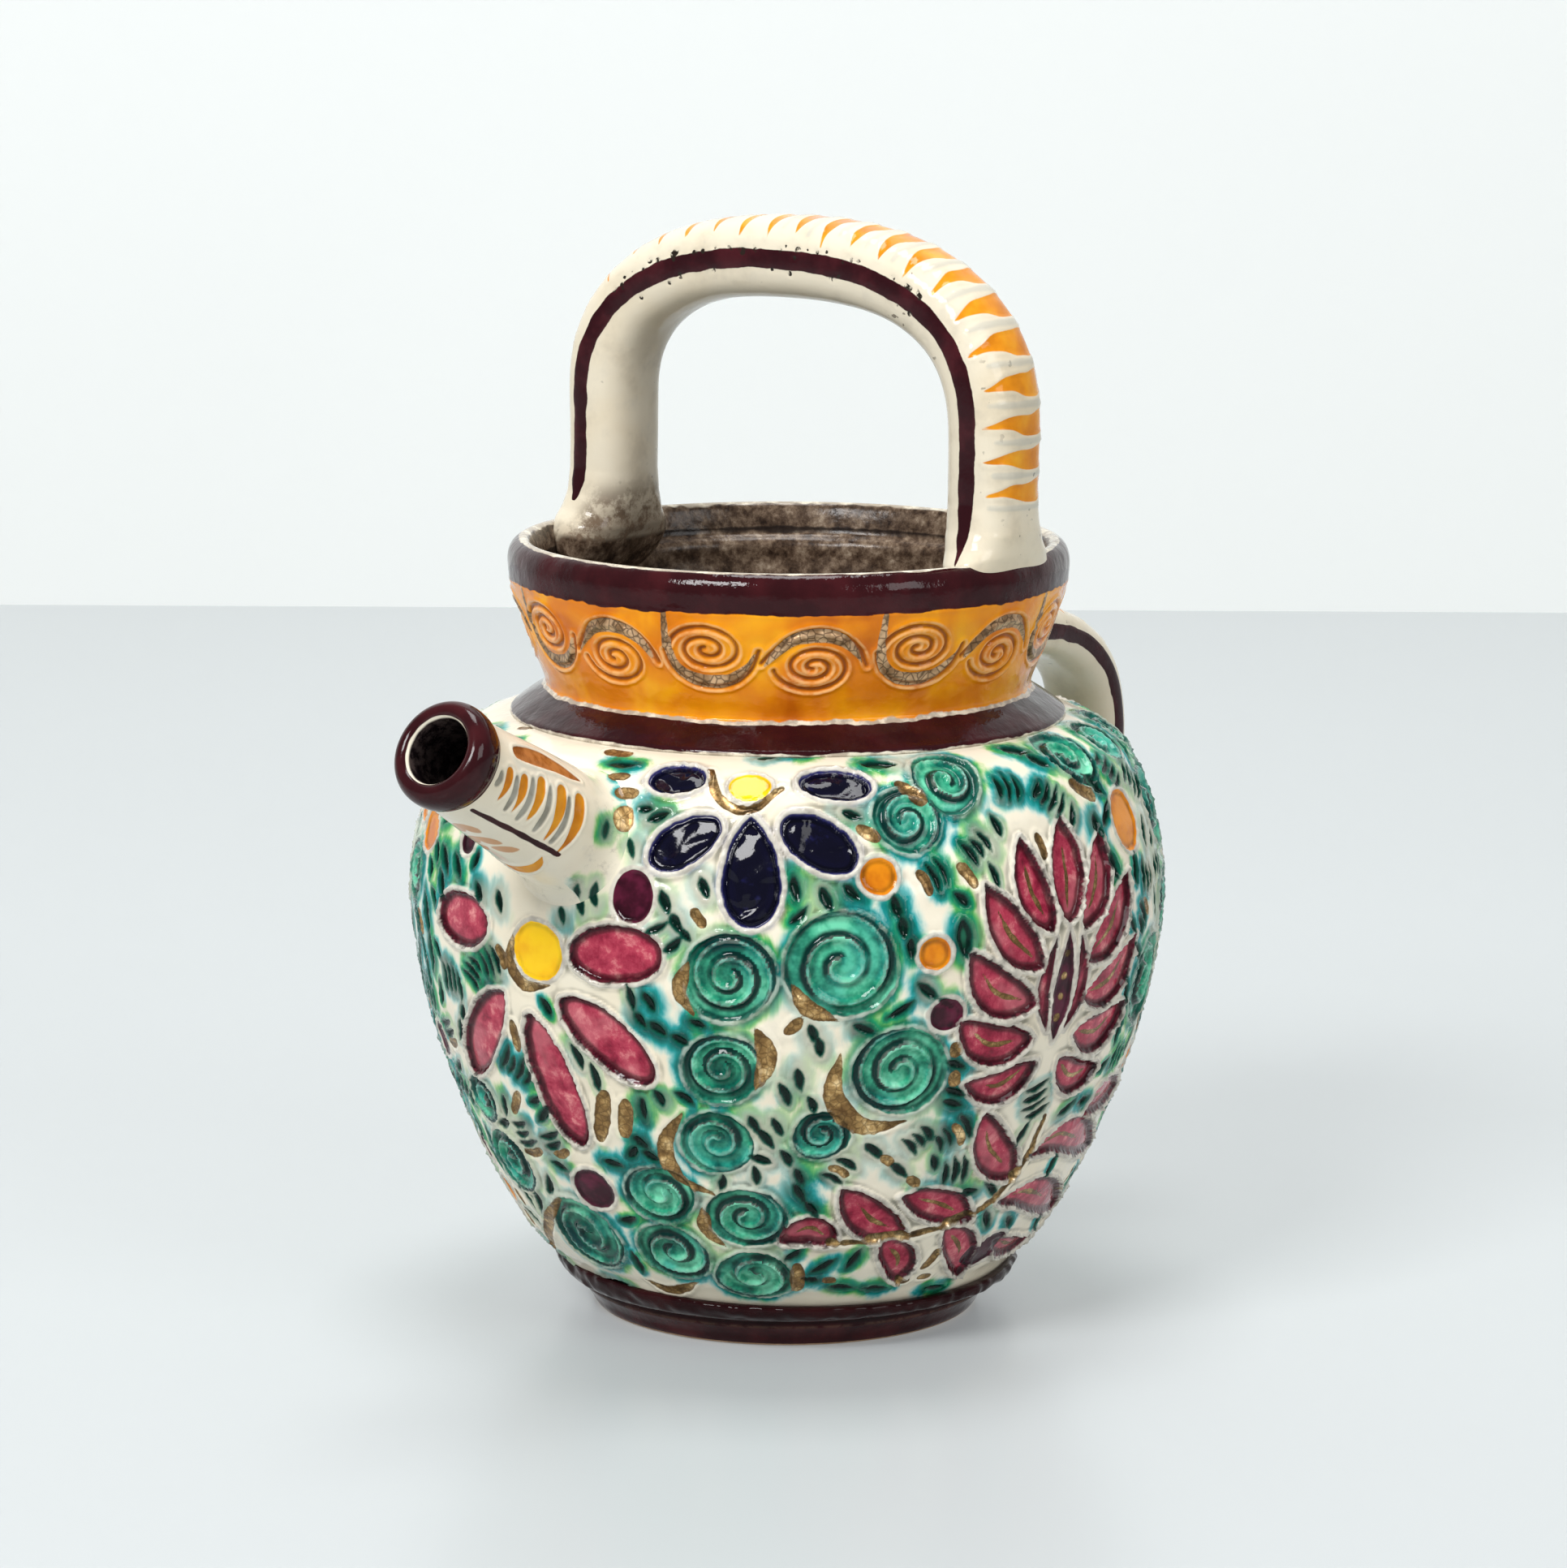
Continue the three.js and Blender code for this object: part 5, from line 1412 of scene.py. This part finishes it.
# the ear handle
EAR = [(38.7, 107.7), (43, 107.6), (54, 107.4), (64, 107.2), (72.5, 106.6), (79.3, 104.6), (85.2, 101.2), (89.4, 96.6), (91.5, 90.5), (92, 84),
       (91, 77), (88.3, 70.2), (83.2, 64.2), (76.5, 59.6), (69, 57.2), (62, 56.5), (59.0, 56.4)]
path = smooth_path(EAR, 0.40)
tan = np.gradient(path, axis=0)
for _ in range(20):
    tan[1:-1] = (tan[:-2] + tan[1:-1] * 2 + tan[2:]) / 4
tan /= np.linalg.norm(tan, axis=1)[:, None]
centre = np.column_stack([np.zeros(len(path)), path[:, 0], path[:, 1]])
outw = np.column_stack([np.zeros(len(path)), -tan[:, 1], tan[:, 0]])
sp = lengths(path)
LE = sp[-1]
end0, end1 = sp, LE - sp
fl = np.interp(end0, [0, 2.5, 4.5, 7, 11], [1.5, 1.34, 1.18, 1.06, 1.0]) * np.interp(end1, [0, 3.0, 5.5, 8, 12], [1.62, 1.42, 1.2, 1.07, 1.0])
half_t, half_w = 4.7 * fl, 7.3 * fl
strokes = []
pos_s = 11.0
k = 0
while pos_s < LE - 14:
    strokes.append(([(-6.2, pos_s - 0.6), (0, pos_s + 0.4), (6.2, pos_s + 0.6)], 1.25 + 0.15 * math.sin(k * 2.1), "leaf"))
    pos_s += 6.2
    k += 1


# darker on the inner faces at the ear's upper root: dirt, with painted shade
def ear_soil_and_shade(s, w, q):
    return 0.35 * (1 - step01(s, 2.0, 7.0)) * step01(np.abs(w), 1.2 * q, 1.7 * q)


ear = strap("ear_handle", centre, outw, np.array([1.0, 0.0, 0.0]), half_t, half_w, 2.5, 120, 161,
            [(-1, 6.0, LE - 6.0, 1.45), (1, 6.0, LE - 6.0, 1.45)], strokes, [], ear_soil_and_shade, [], np.ones(len(sp)))
ear.data.materials.append(handle_material())
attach(ear, "root")
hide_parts("ear_handle", "ear_slip_fillet_upper", "ear_slip_fillet_lower")


# ---------------------------------------------------------------- stage and light
def plain(name, color, rough, glow=0.0):
    p = Paint(name)
    n = p.span(p.noise(3.0, 2), 0.3, 0.7)
    p.b.inputs["Emission Color"].default_value = tuple(color) + (1.0,)
    p.b.inputs["Emission Strength"].default_value = glow
    return p.close(p.mix(n, color, tuple(c * 0.985 for c in color)), rough)


def sheet(name, corners, material):
    mesh = bpy.data.meshes.new(name)
    mesh.from_pydata(corners, [], [(0, 1, 2, 3)])
    mesh.materials.append(material)
    obj = bpy.data.objects.new(name, mesh)
    bpy.context.collection.objects.link(obj)
    return obj


# the floor glows to lighten the shadows on it, and the wall glows faintly: painted light
sheet("floor", [(-4, -4, 0), (4, -4, 0), (4, 4, 0), (-4, 4, 0)], plain("glowing_pale_floor", (0.375, 0.395, 0.40), 0.30, 0.46))
back = AWAY * 0.79
sheet("backdrop", [tuple(back - RIGHT * 4), tuple(back + RIGHT * 4), tuple(back + RIGHT * 4 + np.array([0, 0, 3])), tuple(back - RIGHT * 4 + np.array([0, 0, 3]))],
      plain("glowing_pale_wall", (0.79, 0.81, 0.795), 0.8, 0.06))


def area(name, place, target, size, power, color=(1, 1, 1)):
    data = bpy.data.lights.new(name, 'AREA')
    data.shape = 'RECTANGLE'
    data.size, data.size_y = size
    data.energy = power
    data.color = color
    obj = bpy.data.objects.new(name, data)
    z = np.asarray(place, float) - np.asarray(target, float)
    z /= np.linalg.norm(z)
    x = np.cross((0, 0, 1.0), z)
    x /= np.linalg.norm(x)
    y = np.cross(z, x)
    obj.matrix_world = Matrix.Translation(place) @ Matrix((x, y, z)).transposed().to_4x4()
    bpy.context.collection.objects.link(obj)
    return obj


TOWARDS = -AWAY
aim = np.array([0, 0, 0.09])
area("key", tuple(TOWARDS * 1.05 - RIGHT * 0.70 + np.array([0, 0, 1.12])), aim, (0.62, 0.42), 23.5)
area("fill", tuple(TOWARDS * 1.1 + RIGHT * 1.2 + np.array([0, 0, 0.9])), aim, (0.8, 0.8), 10.0)
area("top", tuple(AWAY * 0.15 + np.array([0, 0, 1.6])), aim, (0.6, 0.6), 13.0)
world = bpy.data.worlds.new("studio")
world.use_nodes = True
bg = world.node_tree.nodes["Background"]
bg.inputs[0].default_value = (0.93, 0.96, 1.0, 1.0)
bg.inputs[1].default_value = 0.26
bpy.context.scene.world = world
bpy.context.scene.view_settings.view_transform = 'Standard'
